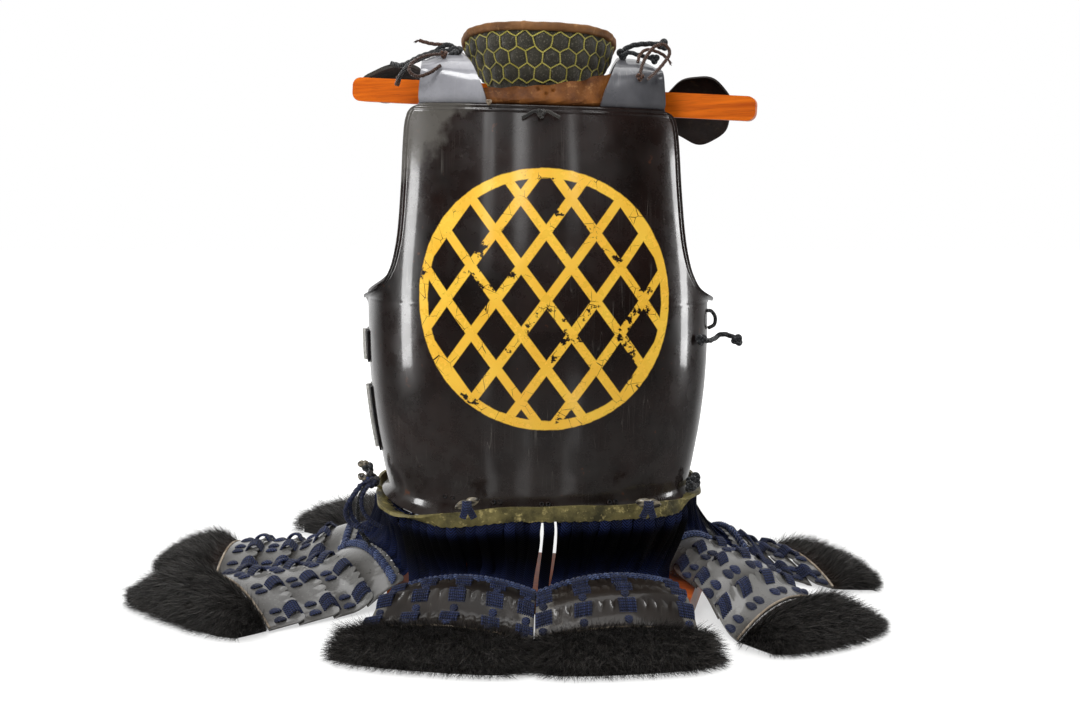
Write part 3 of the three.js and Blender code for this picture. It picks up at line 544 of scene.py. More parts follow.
tintNames = {
    lacquerFinish: "deep warm haze rust scratch",
    leatherFinish: "deep pale worn",
    clothFinish: "deep pale dust",
    braidFinish: "deep pale groove",
    hairFinish: "deep pale root",
    ironFinish: "deep rust",
    hornFinish: "deep pale",
    woodFinish: "deep pale pore",
}
plateTints = "#120c0a #201411 #3d3a38 #57301a #65615c"
strapTints = "#3b3b3f #5c5c60 #626265 #4b423c #97979a"
# painted light: a paler copy of the strap colours, for the reflection that brightens the left strap
litStrapTints = "#707074 #94949a #97979b #5a524c #b4b4b6"
# in lameTints and wornTints the rust colour is also the painted shade at each lame's lapped edge
lameTints = "#555453 #706f6d #7b7a77 #2c2824 #b3b2af"
wornTints = "#130e0b #251d17 #35312d #17100d #6a665f"
finishTable = {
    # how each is made, its colours by the names above, and what differs from the usual look
    "backLacquer": (lacquerFinish, plateTints, {"disc": goldDiscSizes, "patch": "#5b5853"}),
    "frontLacquer": (lacquerFinish, plateTints, {}),
    "strapLacquer": (lacquerFinish, strapTints, {"haze": 0.2, "shine": 0.24}),
    # painted light: the left strap's paler copy of the strap lacquer
    "wornStrapLacquer": (lacquerFinish, litStrapTints, {"haze": 0.2, "shine": 0.24}),
    # lames: how strongly each lame is painted with shade towards the next lame's lapped edge
    "lameLacquer": (lacquerFinish, lameTints, {"haze": 0.5, "shine": 0.2, "lames": 0.75}),
    "wornLacquer": (lacquerFinish, wornTints,
                    {"haze": 0.4, "shine": 0.4, "coat": 0.35, "lames": 0.6, "margin": "#605d58"}),
    "hemEdge": (leatherFinish, "#6d5e4d #a09484 #c4bbae", {"size": 1.2}),
    "bindingLeather": (leatherFinish, "#58391f #7f5732 #a17a50", {}),
    "neckLeather": (leatherFinish, "#4c290f #7b4a1d #96683a", {}),
    "beltLeather": (leatherFinish, "#34311f #746b42 #c0b074", {"size": 2.2, "rough": 0.45}),
    "darkLeather": (leatherFinish, "#1d1a17 #37342f #5b5850", {"size": 2.5}),
    # painted shade: a hide far darker than the left wing's leather, for the hollow of the right wing's dish
    "roughHide": (leatherFinish, "#0a0301 #160a05 #2e2517", {"size": 3, "rough": 0.6}),
    "blackCloth": (clothFinish, "#24221b #423f35 #857f70", {}),
    # each braid's third colour is the painted shade in the grooves between its plaits
    "hexThread": (braidFinish, "#b5ab3a #eadf70 #857c2e", {"plait": 1.6}),
    "navyBraid": (braidFinish, "#111936 #26335f #070b1c", {"sheen": 0.1}),
    "blueBraid": (braidFinish, "#24305a #5a6b99 #0d1429", {"plait": 2.2, "sheen": 0.15}),
    # its black deep and groove colours are painted shade, which the curtain laces take where they are not
    # marked lit
    "curtainBraid": (braidFinish, "#000001 #1f2a54 #000001", {"sheen": 0, "gloss": 0.08}),
    "greyCord": (braidFinish, "#2b2926 #57534c #171614", {"plait": 1.5}),
    "blackCord": (braidFinish, "#0f1113 #23262a #070708", {"plait": 2.4}),
    "brownCord": (braidFinish, "#45291a #74492f #23140d", {"plait": 2}),
    "bearHair": (hairFinish, "#060606 #5a5754 #2a1c14", {}),
    "blackIron": (ironFinish, "#1c1c1e #3d2c22", {}),
    "brightPin": (ironFinish, "#c9c7c2 #8f8a80", {"rough": 0.3}),
    "horn": (hornFinish, "#1b1815 #7d7462", {}),
    "barWood": (woodFinish, "#b04a06 #e8740c #843506", {"turn": -11.5, "slope": 3.2}),
    "boardWood": (woodFinish, "#9a4114 #c0601f #74300d", {"turn": -11.5}),
    "postWood": (woodFinish, "#9a4114 #c0601f #74300d", {"turn": -11.5}),
}
finishes = {name: make(name, dict(zip(tintNames[make].split(), codes.split())), **look) for name,
            (make, codes, look) in finishTable.items()}
print("finishes ready")

# free cords, each along its own route as the solids have it
cordRoutes = {
    "cord_left_black": {"diameter": 5, "finish": "blackCord", "end": "bare", "points": [
        (-78, -66, 534), (-86, -64, 538), (-98, -60, 532), (-112, -52, 528), (-130, -38, 521),
        (-141, -28, 523)]},
    "cord_left_brown": {"diameter": 3.4, "finish": "brownCord", "end": "object", "points": [
        (-88, -86, 528), (-97, -89, 527.5), (-107, -94, 525), (-116, -101, 519), (-118, -106, 512),
        (-111, -107, 507), (-100, -105.5, 510), (-90, -100, 517)]},
    "cord_right_black": {"diameter": 5, "finish": "blackCord", "end": "knot", "points": [
        (75, -58, 531), (80, -58, 535), (88, -60, 538), (103, -62, 539), (114, -62, 538)]},
    "cord_right_brown": {"diameter": 3.4, "finish": "brownCord", "end": "object", "points": [
        (91, -95, 507), (93, -91, 517), (98, -86, 527), (105, -83, 535), (114, -80, 537), (119, -80, 530),
        (114, -84, 521), (106, -90, 512), (98, -97, 505)]},
    "cord_side_tie": {"diameter": 5, "finish": "blackCord", "end": "knot", "points": [
        (151, -62, 264), (161, -55, 261), (169, -46, 263), (174, -44, 266), (184, -42, 264),
        (190, -42, 260)]},
    "cord_waist_left": {"diameter": 5, "finish": "navyBraid", "end": "bare", "points": [
        (-175, -41, 118), (-177, -43, 114), (-181, -45, 109), (-187, -45, 100), (-190, -42, 90),
        (-186, -40, 80),
        (-178, -42, 76)]},
    "cord_left_second": {"diameter": 4.4, "finish": "blackCord", "end": "fitting", "points": [
        (-79, -67, 533), (-92, -66, 532), (-107, -61, 527), (-123, -46, 521), (-131, -34, 514),
        (-135, -27, 508)]},
    "cord_left_stub": {"diameter": 3.6, "finish": "brownCord", "end": "bare", "points": [
        (-76, -60, 535), (-88, -62, 538), (-100, -63, 539), (-112, -62, 542)]},
    "cord_right_second": {"diameter": 4.2, "finish": "blackCord", "end": "knot", "points": [
        (76, -62, 528), (82, -64, 531), (90, -65, 529), (98, -66, 527), (106, -66, 525)]},
    "cord_right_arch": {"diameter": 3.2, "finish": "brownCord", "end": "bare", "points": [
        (90, -76, 521), (92, -73, 528), (98, -70, 533), (106, -69, 532), (113, -69, 529), (118, -69, 525)]},
    "cord_waist_second": {"diameter": 4.4, "finish": "navyBraid", "end": "object", "points": [
        (-166, -36, 121), (-172, -37, 119), (-181, -38, 110), (-186, -38, 98), (-184, -37, 85),
        (-176, -36, 76),
        (-165, -34, 72)]},
    "cord_waist_third": {"diameter": 4.4, "finish": "navyBraid", "end": "object", "points": [
        (-164, -42, 120), (-170, -44, 114), (-174, -45, 104), (-172, -45, 92), (-164, -44, 82),
        (-154, -42, 76)]},
    "cord_waist_fourth": {"diameter": 4.4, "finish": "blackCord", "end": "bare", "points": [
        (-163, -30, 122), (-171, -29, 115), (-178, -27, 101), (-180, -26, 84), (-177, -26, 68),
        (-170, -27, 58)]},
}


def framesAlong(paths, guide):
    # the two directions of a tube's section: across the path and the guide, and upright to both
    tangent = unit(np.gradient(paths, axis=-2))
    across = unit(np.cross(np.broadcast_to(guide, tangent.shape), tangent))
    return across, np.cross(tangent, across)


def alongRoute(points, step):
    # a smooth line through given points, which is then read at even steps
    points = np.asarray(points, float)
    keys = lengthsAlong(points)
    coarse = smooth(keys, points, np.linspace(0, keys[-1], 400))
    run = lengthsAlong(coarse)
    count = max(int(run[-1] / step), 6)
    even = np.linspace(0, run[-1], count)
    return np.stack([np.interp(even, run, coarse[:, k]) for k in range(3)], -1)


def plaitedTube(path, diameter, guide=(0.1, 0.2, 1)):
    # a cord laid of three strands: its round section has three soft lobes that wind along it
    sides = 14
    across, up = framesAlong(path[None], guide)
    run = lengthsAlong(path)
    turn = np.arange(sides) / sides * 2 * np.pi
    lobes = 1 + 0.1 * np.cos(3 * turn[None] - run[:, None] / diameter * 4.2)
    points, faceSets = sweep(path[None], across, up, oval(diameter / 2 / 1.06, diameter / 2 / 1.06, sides))
    middle = np.repeat(path, sides, axis=0)
    points = middle + (points - middle) * lobes.reshape(-1, 1)
    place = placeOnTubes(path[None], sides, oval(diameter / 2, 1, sides))
    return points, faceSets, place


def knotBody(middle, size, diameter, turn=0.0):
    # an overhand knot: a cord along a trefoil, closed on itself
    t = np.linspace(0, 2 * np.pi, 73)
    loop = np.stack([np.sin(t) + 2 * np.sin(2 * t), -np.sin(3 * t) * 1.1, np.cos(t) - 2 * np.cos(2 * t)],
                    -1) * size / 6
    c, s = math.cos(turn), math.sin(turn)
    loop = np.stack([loop[:, 0] * c - loop[:, 2] * s, loop[:, 1], loop[:, 0] * s + loop[:, 2] * c],
                    -1) + middle
    tangent = unit(np.roll(loop[:-1], -1, axis=0) - np.roll(loop[:-1], 1, axis=0))
    tangent = np.concatenate([tangent, tangent[:1]])
    across = unit(np.cross((0.15, 1.0, 0.2), tangent))
    points, faceSets = sweep(loop[None], across[None], np.cross(tangent, across)[None],
                             oval(diameter / 2, diameter / 2, 10))
    return points, faceSets, placeOnTubes(loop[None], 10)


def fringeBody(at, way, length, count, diameter, spread):
    # loose yarns at a cord's cut end
    t = np.linspace(0, 1, 5)[None, :, None]
    aims = unit(np.asarray(way, float) + spread * random.normal(size=(count, 3)))
    droop = stack3(0, 0, -0.35 * length * t[..., 0] ** 2)
    paths = np.asarray(at, float) + aims[:, None] * t * length * random.uniform(0.6, 1, (count, 1, 1)) + droop
    across, up = framesAlong(paths, (0.3, 0.2, 1))
    points, faceSets = sweep(paths, across, up, oval(diameter / 2, diameter / 2, 5), 1 - 0.6 * t[..., 0])
    return points, faceSets, placeOnTubes(paths, 5)


def buildCords():
    for name, row in cordRoutes.items():
        path = alongRoute(row["points"], 0.7)
        body = plaitedTube(path, row["diameter"])
        nodes = [name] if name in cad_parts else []
        title = name.split("_")
        piece = makePiece("cord" + "".join(word.title() for word in title[1:]), body, row["finish"],
                          nodes)
        ends = {"knot": [path[-1]], "object": [path[0]], "fitting": [], "bare": []}[row["end"]]
        if name == "cord_left_black":
            ends = [path[0] + (1, 0, -2), path[0] + (-1, -4, -6)]
        if name in ("cord_right_black", "cord_side_tie"):
            ends = [path[0] + (2, 0, -1), path[-1]]
        for k, end in enumerate(ends):
            bundle = knotBody(end, row["diameter"] * 1.7, row["diameter"] * 0.8, 0.7 * k)
            makePiece(f"{piece.name}Knot{k}", bundle, row["finish"])
        if row["end"] == "bare":
            tuft = fringeBody(path[-1] - (path[-1] - path[-4]) * 0.6, path[-1] - path[-4], 7, 14, 0.9, 0.3)
            makePiece(f"{piece.name}Fringe", tuft, row["finish"])
        if row["end"] == "fitting":
            tip = alongRoute([path[-1] + (0.6, -1.4, 2.4), path[-1], path[-1] - (1.4, -2.6, 5)], 0.8)
            aglet = plaitedTube(tip, row["diameter"] * 1.2)
            makePiece(f"{piece.name}End", aglet, "brownCord")


buildCords()
print("cords ready")


# the two plates
outlines = {
    "back": {"z": [298, 303, 308, 314, 322, 334, 360, 405, 449, 468, 477, 481.5],
             "edge": [166, 162, 156.5, 150.5, 145.5, 140.5, 135, 131, 128.5, 126, 120.5, 108]},
    "front": {"z": [298, 304, 312, 324, 342, 370, 400, 430, 440, 445],
              "edge": [166, 160, 152, 143, 134, 126, 121, 117, 110, 96]},
}
# the foot hangs low at the middle and rises over the hips, and the back plate's leans
foot = {"drop": 10, "rise": 13, "lean": 5.2, "fadedAt": 140}
plateLook = {"wall": 2.8, "seam": 0.4, "edgeBand": 9, "bead": 1.5, "secondBead": 0.8, "armpitCurl": 5}


def plateGrid(side, outline):
    # rows up the plate, close together at its top, and columns close together at its two side edges
    top = outline["z"][-1]
    near = np.linspace(0, plateLook["edgeBand"], 15)
    z = np.concatenate([np.linspace(108, 118, 8), np.linspace(122, 286, 26), np.linspace(290, 330, 22),
                        np.linspace(334, top - plateLook["edgeBand"] - 1, 22), (top - near)[::-1]])[:, None]
    a, b = torsoSize(z)
    limit = np.pi / 2 - plateLook["seam"] / 2 / a
    edge = smooth(outline["z"], outline["edge"], z)
    reach = np.where(z <= outline["z"][0], limit, np.minimum(np.arctan2(edge,
                                                                        depthAt(edge, a, b,
                                                                                torso["squareness"])), limit))
    x, y = onSection(reach, side, a, b, torso["squareness"])
    band = near / np.hypot(x, y)
    half = np.concatenate([np.linspace(0, 1, 40)[:-1] * (reach - band[:, -1:]), (reach - band)[:, ::-1]],
                          axis=1)
    turn = np.concatenate([-half[:, :0:-1], half], axis=1)
    x, y = onSection(turn, side, a, b, torso["squareness"])
    lean = foot["lean"] * np.sin(2 * turn) * np.cos(turn) if side < 0 else 0
    drop = foot["drop"] - foot["rise"] * np.sin(turn) ** 6 - lean
    fade = np.maximum(0, (foot["fadedAt"] - z) / (foot["fadedAt"] - torso["z"][0])) ** 2
    return stack3(x, y, z - drop * fade)


def plateBody(side, outline):
    # the outer face with a rolled double bead along its top and armholes, curled out at the armpits
    grid = plateGrid(side, outline)
    run = lengthsAlong(grid)
    fromSide = np.minimum(run, run[:, -1:] - run)
    top = outline["z"][-1]
    fromTop = top - grid[..., 2]
    aboveArmpit = np.clip((grid[..., 2] - 292) / 8, 0, 1)
    distance = np.minimum(fromTop, fromSide + 60 * (1 - aboveArmpit))
    rise = (plateLook["bead"] * np.exp(-((distance - 1.6) / 1.3) ** 2)
            + plateLook["secondBead"] * np.exp(-((distance - 5.4) / 0.9) ** 2))
    curl = plateLook["armpitCurl"] * np.exp(-((grid[..., 2] - 301) / 7) ** 2 - (fromSide / 7) ** 2)
    out = normalsOf(grid)
    out = out * np.sign(side * out[..., 1].mean())
    middle = run - run[:, [run.shape[1] // 2]]
    outer = grid + out * (rise + curl)[..., None]
    inner = grid - out * (plateLook["wall"] - 0.3 * rise - curl)[..., None]
    points, faces = closedWall(hung(outer), hung(inner))
    place = stack3(middle, grid[..., 2], distance).reshape(-1, 3)
    return points, [faces], np.concatenate([place, place])


def buildPlates():
    for side, name in ((-1, "back"), (1, "front")):
        makePiece(f"{name}Plate", plateBody(side, outlines[name]), f"{name}Lacquer",
                  [f"{name}_plate"], sharp=50)
    # paired lacing holes with raised eyes near the plate's foot
    t = np.linspace(0, 2 * np.pi, 17)
    spots = [(-92, 118.5), (-85, 118), (-47, 115.5), (-41, 115.5), (62, 113.5), (68, 113.5), (-2, 113.5),
             (4, 113.5)]
    x, z = np.array(spots, float).T[..., None]
    ringX, ringZ = x + 1.7 * np.cos(t), z + 1.7 * np.sin(t)
    a, b = torsoSize(ringZ)
    rings = hung(stack3(ringX, -depthAt(ringX, a, b, torso["squareness"]) - 0.2, ringZ))
    across = np.broadcast_to((0.0, -1.0, 0.0), rings.shape)
    tangent = unit(np.stack([-np.sin(t), 0 * t, np.cos(t)], -1))[None]
    up = np.cross(tangent, across)
    eyes = sweep(rings, across, np.broadcast_to(up, rings.shape), oval(0.7, 0.7, 8))
    makePiece("plateEyes", eyes, "blackIron")


buildPlates()
print("plates ready")


# shoulder straps, pads and neck leather
strap = {
    "y": [-103, -100, -90, -70, -38, 0, 38, 68, 90, 100],
    "z": [483, 498, 512, 522, 527, 527, 520, 502, 474, 447],
    "inner": [51, 56, 63, 70, 74, 75, 74, 70, 66, 64],
    "outer": [112, 111, 110, 109, 109, 109, 109, 107, 102, 98],
    "drop": [0, 0, 2, 7, 10, 10, 8, 4, 0, 0],
    "onPlate": [1, 0.85, 0.45, 0, 0, 0, 0, 0, 0.6, 1],
    "wall": 3,
}
backTop = 481.5


def onStrap(side, along, across):
    # inner face of a strap: along from the back plate at 0 to the front plate at 1, across from neck to arm
    shares = np.arange(10) / 9
    value = {key: smooth(shares, strap[key], along) for key in ("y", "z", "inner", "outer", "drop",
                                                                "onPlate")}
    a, b = torsoSize(backTop)
    x = mix(value["inner"], value["outer"], across)
    plateY = np.sign(value["y"]) * depthAt(x, a, b, torso["squareness"])
    drop = value["drop"] * np.maximum(0, (across - 0.3) / 0.7) ** 2
    return stack3(side * x, mix(value["y"], plateY, np.clip(value["onPlate"], 0, 1)), value["z"] - drop)


def tucked(z, top):
    # how far a piece is drawn in behind a plate's wall near and below the plate's top edge
    share = np.clip((top + 4.5 - z) / 4, 0, 1)
    return 6.4 * share * share * (3 - 2 * share)


def upward(grid):
    # the grid's normals, turned so that most of them point up
    normals = normalsOf(grid)
    return normals if normals[..., 2].mean() > 0 else -normals


def buildStraps():
    for side, name in ((-1, "left"), (1, "right")):
        along, across = np.meshgrid(np.linspace(0, 1, 66), np.linspace(0, 1, 22), indexing="ij")
        grid = onStrap(side, along, across)
        # a tongue at each end that goes down behind the plate's top edge
        below = np.linspace(6, 0.7, 7)[:, None, None] * (0, 0, 1)
        grid = np.concatenate([grid[:1] - below, grid, grid[-1:] - below[::-1]])
        grid[:38, :, 1] += tucked(grid[:38, :, 2], backTop)
        grid[-31:, :, 1] -= tucked(grid[-31:, :, 2], 445)
        out = upward(grid)
        run = lengthsAlong(grid)
        fromEdge = np.minimum(run, run[:, -1:] - run)
        # a low flange along the arm side and a soft hollow by the neck
        lift = 1.6 * np.exp(-((run[:, -1:] - run - 1.2) / 1.6) ** 2) + 0.9 * np.exp(-((run - 1.2) / 1.4) ** 2)
        outer = grid + out * (strap["wall"] + lift)[..., None]
        points, faces = closedWall(hung(outer), hung(grid + out * 0.2))
        place = stack3(run, grid[..., 2], fromEdge).reshape(-1, 3)
        # the left strap takes the paler copy of the strap lacquer: painted light for the reflection that
        # brightens it
        makePiece(f"strap{name.title()}", (points, [faces], np.concatenate([place, place])),
                  "wornStrapLacquer" if side < 0 else "strapLacquer",
                  [f"shoulder_strap_{name}"])


standSizes = {"turn": -11.5, "middle": (11, -8), "barDepth": 24, "barHeight": 23, "barCentre": 490.5,
              "barTilt": 3.2}


def barTop(x, y):
    turn, tilt = math.radians(standSizes["turn"]), math.radians(standSizes["barTilt"])
    along = (x - standSizes["middle"][0]) * math.cos(turn) + (y - standSizes["middle"][1]) * math.sin(turn)
    return standSizes["barCentre"] - along * math.tan(tilt) + standSizes["barHeight"] / 2 / math.cos(tilt)


def fromBar(x, y):
    turn = math.radians(standSizes["turn"])
    return np.abs((y - standSizes["middle"][1]) * math.cos(turn)
                  - (x - standSizes["middle"][0]) * math.sin(turn))


def buildPads():
    # cotton-filled cloth between strap and crossbar: its top follows the strap, its underside is quilted
    for side, name in ((-1, "left"), (1, "right")):
        along, across = np.meshgrid(np.linspace(0.34, 0.63, 40), np.linspace(0.03, 0.97, 24), indexing="ij")
        top = hung(onStrap(side, along, across)) - (0, 0, strap["wall"] + 1.3)
        clear = np.maximum(0, fromBar(top[..., 0], top[..., 1]) - standSizes["barDepth"] / 2 - 2) * 0.45
        low = np.minimum(barTop(top[..., 0], top[..., 1]) + 0.5 + clear, top[..., 2] - 2)
        quilt = 0.8 * np.abs(np.sin(along * 70)) * np.abs(np.sin(across * 16)) * np.minimum(1, clear / 3)
        under = np.stack([top[..., 0], top[..., 1], np.minimum(low + 0.8 - quilt, top[..., 2] - 1.6)], -1)
        points, faces = closedWall(top, under)
        piece = makePiece(f"pad{name.title()}", (points, [faces]), "blackCloth",
                          [f"shoulder_pad_{name}"])


neck = {"share": [0, 0.5, 0.75, 1], "footX": [-54, 0, 26, 51], "topX": [-56, 0, 32, 61],
        "top": [494, 498.5, 504, 512], "wall": 2.4}


def buildNeckLeather():
    # a cut leather piece on the plate's top edge, its upper edge a little curled and wavy
    across, up = np.meshgrid(np.linspace(0, 1, 120), np.linspace(0, 1, 22), indexing="ij")
    a, b = torsoSize(backTop)
    x = mix(smooth(neck["share"], neck["footX"], across), smooth(neck["share"], neck["topX"], across), up)
    z = mix(backTop - 5, smooth(neck["share"], neck["top"], across), up)
    wave = 0.8 * np.sin(across * 23) * up ** 2 + 0.5 * np.sin(across * 47 + 1) * up
    leaned = 0.25 * np.maximum(z - backTop - 2, 0)
    y = -depthAt(x, a, b, torso["squareness"]) + leaned + wave + tucked(z, backTop)
    y = y + 3.2 * np.clip(np.abs(across - 0.5) * 16 - 7, 0, 1)
    grid = stack3(x, y, z + 0.6 * np.sin(across * 31) * up)
    out = normalsOf(grid)
    out = out * np.sign(-out[..., 1].mean())
    curl = 0.9 * up ** 6
    # three lacing holes pressed in at its middle
    dents = 0
    for holeX, holeZ in ((-4.5, 494.5), (8.5, 494.5), (2.0, 491)):
        dents = dents + 2.2 * np.exp(-(((x - holeX) / 1.5) ** 2 + ((z - holeZ) / 1.5) ** 2) ** 2)
    points, faces = closedWall(hung(grid + out * (neck["wall"] + curl - dents)[..., None]),
                               hung(grid + out * 0.2))
    makePiece("neckLeather", (points, [faces]), "neckLeather", ["neck_leather"])


buildStraps()
buildPads()
buildNeckLeather()
print("shoulders ready")


# the quilted collar
collar = {
    "middle": -18, "reach": 118, "wall": 5, "share": [0, 0.5, 1], "radiusX": [54, 61, 66],
    "radiusY": [56, 65, 71],
    "turn": [0, 40, 75, 118], "foot": [488, 491, 508, 514], "brim": [550.5, 549.5, 544, 528],
    "hexSide": 9.4, "rows": 3, "thread": 0.62, "puff": 3.2, "meanRadius": 70,
}


def collarHeight(turn):
    brim, bottom = (smooth(collar["turn"], collar[edge], np.abs(turn)) for edge in ("brim", "foot"))
    return brim - bottom


def onCollar(turn, share, raised=0.0):
    # inner face: turn in degrees round the neck from the back, share from its foot at 0 to its brim at 1
    radiusX = smooth(collar["share"], collar["radiusX"], share)
    radiusY = smooth(collar["share"], collar["radiusY"], share)
    bottom, brim = (smooth(collar["turn"], collar[key], np.abs(turn)) for key in ("foot", "brim"))
    t = np.radians(turn)
    return stack3(radiusX * np.sin(t), collar["middle"] - radiusY * np.cos(t),
                  mix(bottom, brim, share) + raised)


def collarPlace(along, down):
    # where a point of the stitched pattern lies: along the collar and down from its brim, in millimetres
    turn = np.degrees(along / collar["meanRadius"])
    height = collarHeight(turn)
    return turn, 1 - down / height


def collarOut(turn):
    t = np.radians(turn)
    return unit(stack3(np.sin(t) / collar["radiusX"][1], -np.cos(t) / collar["radiusY"][1], -0.004 + 0 * t))


def hexCentres():
    width = math.sqrt(3) * collar["hexSide"]
    columns = np.arange(-9, 10)
    centres = [np.stack([(columns + 0.5 * (row % 2)) * width,
                         np.full(19, 1.5 * collar["hexSide"] * row + collar["hexSide"] + 0.6)], -1)
               for row in range(collar["rows"])]
    centres = np.concatenate(centres)
    turn, share = collarPlace(centres[:, 0], centres[:, 1] + collar["hexSide"])
    return centres[(np.abs(turn) < collar["reach"] - 8) & (share > 0.02)]


def hexPuff(along, down, centres):
    # how far a point is inside its hexagon, as a share of the half width, by the three directions across it
    away = np.stack([along[..., None] - centres[:, 0], down[..., None] - centres[:, 1]], -1)
    half = math.sqrt(3) / 2 * collar["hexSide"]
    across = np.radians([0, 60, 120])
    reach = np.max(np.abs(away @ np.stack([np.cos(across), np.sin(across)])), axis=-1)
    return np.clip(1 - reach.min(axis=-1) / half, 0, 1)


def buildCollar():
    centres = hexCentres()
    turn, share = np.meshgrid(np.linspace(-collar["reach"], collar["reach"], 220), np.linspace(0, 1, 40),
                              indexing="ij")
    grid = onCollar(turn, share)
    height = collarHeight(turn)
    along, down = np.radians(turn) * collar["meanRadius"], (1 - share) * height
    inside = hexPuff(along, down, centres)
    stitched = np.clip(inside * 60, 0, 1)
    puff = collar["puff"] * (1 - np.exp(-np.maximum(inside - 0.08, 0) * 2.8))
    gather = 0.9 * np.sin(along * 0.55 + 2.4 * np.sin(along * 0.13)) * np.clip(1 - share * 4, 0, 1)
    loose = 0.5 * np.sin(along * 0.3 + down * 0.22) + 0.5 * np.sin(along * 0.83 - down * 0.31)
    loose = loose * (1 - stitched)
    out = collarOut(turn)
    turnedIn = np.clip((share - 0.95) / 0.05, 0, 1)
    outer = grid + out * ((collar["wall"] - 0.6 + puff + gather + loose) * (1 - 0.2 * turnedIn))[..., None]
    points, faces = closedWall(hung(outer), hung(grid + out * 0.3))
    piece = makePiece("collarCloth", (points, [faces]), "blackCloth", ["collar"])

    # couched thread along the hexagons' sides, a little uneven as hand work is
    corner = np.radians(np.arange(6) * 60 + 30)
    ring = centres[:, None] + collar["hexSide"] * np.stack([np.cos(corner), np.sin(corner)], -1)
    ring = ring.reshape(-1, 2)
    first, index = np.unique(np.round(ring / 3 + 0.37), axis=0, return_index=True, return_inverse=True)[1:]
    found, index = ring[first], index.reshape(-1, 6)
    sides = np.unique(np.sort(np.stack([index, np.roll(index, -1, axis=1)], -1).reshape(-1, 2), axis=1),
                      axis=0)
    found = found + random.normal(scale=0.55, size=found.shape)
    t = np.linspace(0, 1, 7)[None, :, None]
    lines = found[sides[:, 0]][:, None] * (1 - t) + found[sides[:, 1]][:, None] * t
    lines = lines + random.normal(scale=0.3, size=(len(sides), 1, 2)) * np.sin(np.pi * t)
    lineTurn, lineShare = collarPlace(lines[..., 0], lines[..., 1])
    paths = hung(onCollar(lineTurn, np.clip(lineShare, 0.01, 0.995))
                 + collarOut(lineTurn) * (collar["wall"] + 0.4))
    across, up = framesAlong(paths, unit(hung(collarOut(lineTurn)) - hung(np.zeros(3))))
    section = oval(collar["thread"], collar["thread"] * 0.8, 7)
    thread = sweep(paths, across, up, section)
    makePiece("hexThread", (*thread, placeOnTubes(paths, 7, section)), "hexThread")

    # the leather binding folded over the brim, lapped at one place
    turns = np.linspace(-collar["reach"] - 1, collar["reach"] + 1, 220)
    brim = onCollar(turns, np.ones(220), 2.2)
    out = unit(collarOut(turns) * (1, 1, 0))
    run = lengthsAlong(brim)
    lap = 0.9 * np.exp(-((turns - (-14)) / 1.1) ** 2)
    wave = 0.35 * np.sin(run * 0.21) + 0.25 * np.sin(run * 0.47 + 2)
    path = hung(brim + out * (3.6 + 0.5 * wave)[..., None] + stack3(0, 0, 0.3 * wave))
    across, up = framesAlong(path[None], (0, 0, 1))
    section = oval(4.2, 4.0, 16, 0.62)
    bound = sweep(path[None], across, up, section, 1 + 0.16 * lap + 0.03 * wave)
    makePiece("collarBinding", (*bound, placeOnTubes(path[None], 16, section)), "bindingLeather",
              ["collar_binding"])


buildCollar()
print("collar ready")


# shoulder wings: a dished leather leaf at each arm
wings = {
    "left": {"middle": (-147, 62, 506), "out": (-0.2, 0.58, 0.79), "radius": 35, "bulge": 9, "curl": 12},
    "right": {"middle": (158, 44, 482), "out": (0.25, 0.93, 0.3), "radius": 35.5, "bulge": 13, "curl": 0},
}


def buildWings():
    for name, row in wings.items():
        out = unit(np.array(row["out"]))
        first = unit(np.cross((0, 0, 1), out))
        second = np.cross(out, first)
        # polar grid from near the middle to the rim, its edge uneven and rolled
        turn, share = np.meshgrid(np.linspace(0, 2 * np.pi, 65), np.linspace(0.004, 1, 22), indexing="ij")
        wave = 0.03 * np.sin(3 * turn + 1) + 0.02 * np.sin(7 * turn)
        radius = row["radius"] * share * (1 + wave * share ** 3 - 0.03)
        dish = row["bulge"] * (1 - share ** 2) + 0.8 * np.sin(5 * turn) * share ** 2
        rim = 1.3 * np.exp(-((1 - share) * row["radius"] / 1.6 - 0.8) ** 2)
        centre = np.array(row["middle"], float)

        def lay(level, reach=1.0):
            flat = radius[..., None] * reach * (np.cos(turn)[..., None] * first
                                                + np.sin(turn)[..., None] * second)
            p = centre + flat + out * level[..., None]
            # the far side of a leaf that rests on the crossbar curls up
            p[..., 2] += row["curl"] * np.clip((p[..., 1] - centre[1]) / row["radius"] + 0.1, 0, 1) ** 1.3
            return p

        outer, inner = lay(dish + rim), lay(dish - 3.2 - rim * 0.6, 0.985)
        # both faces and the rim between them, closed round the turn and at the two middles
        rings = np.concatenate([outer, inner[:, ::-1]], axis=1)[:-1].transpose(1, 0, 2)
        index = np.arange(rings.shape[0] * rings.shape[1]).reshape(rings.shape[:2])
        turned = np.roll(index, -1, axis=1)
        quads = np.stack([index[:-1], index[1:], turned[1:], turned[:-1]], -1).reshape(-1, 4)
        caps = np.stack([index[0], index[-1, ::-1]])
        # the right wing takes the darker hide: painted shade for the hollow of its dish
        makePiece(f"wing{name.title()}", (rings, [quads, caps]),
                  "roughHide" if name == "right" else "darkLeather",
                  [f"shoulder_wing_{name}"])


buildWings()
print("wings ready")


# the waist belt
belt = {"halfWidth": 160, "halfDepth": 118, "squareness": 2.9, "top": 114, "height": 15, "wall": 3, "sag": 13,
        "sagAt": -60, "sagSpread": 27, "scallop": 9.2, "twists": ((-72, 27), (77, 19)), "tuck": 0.9}


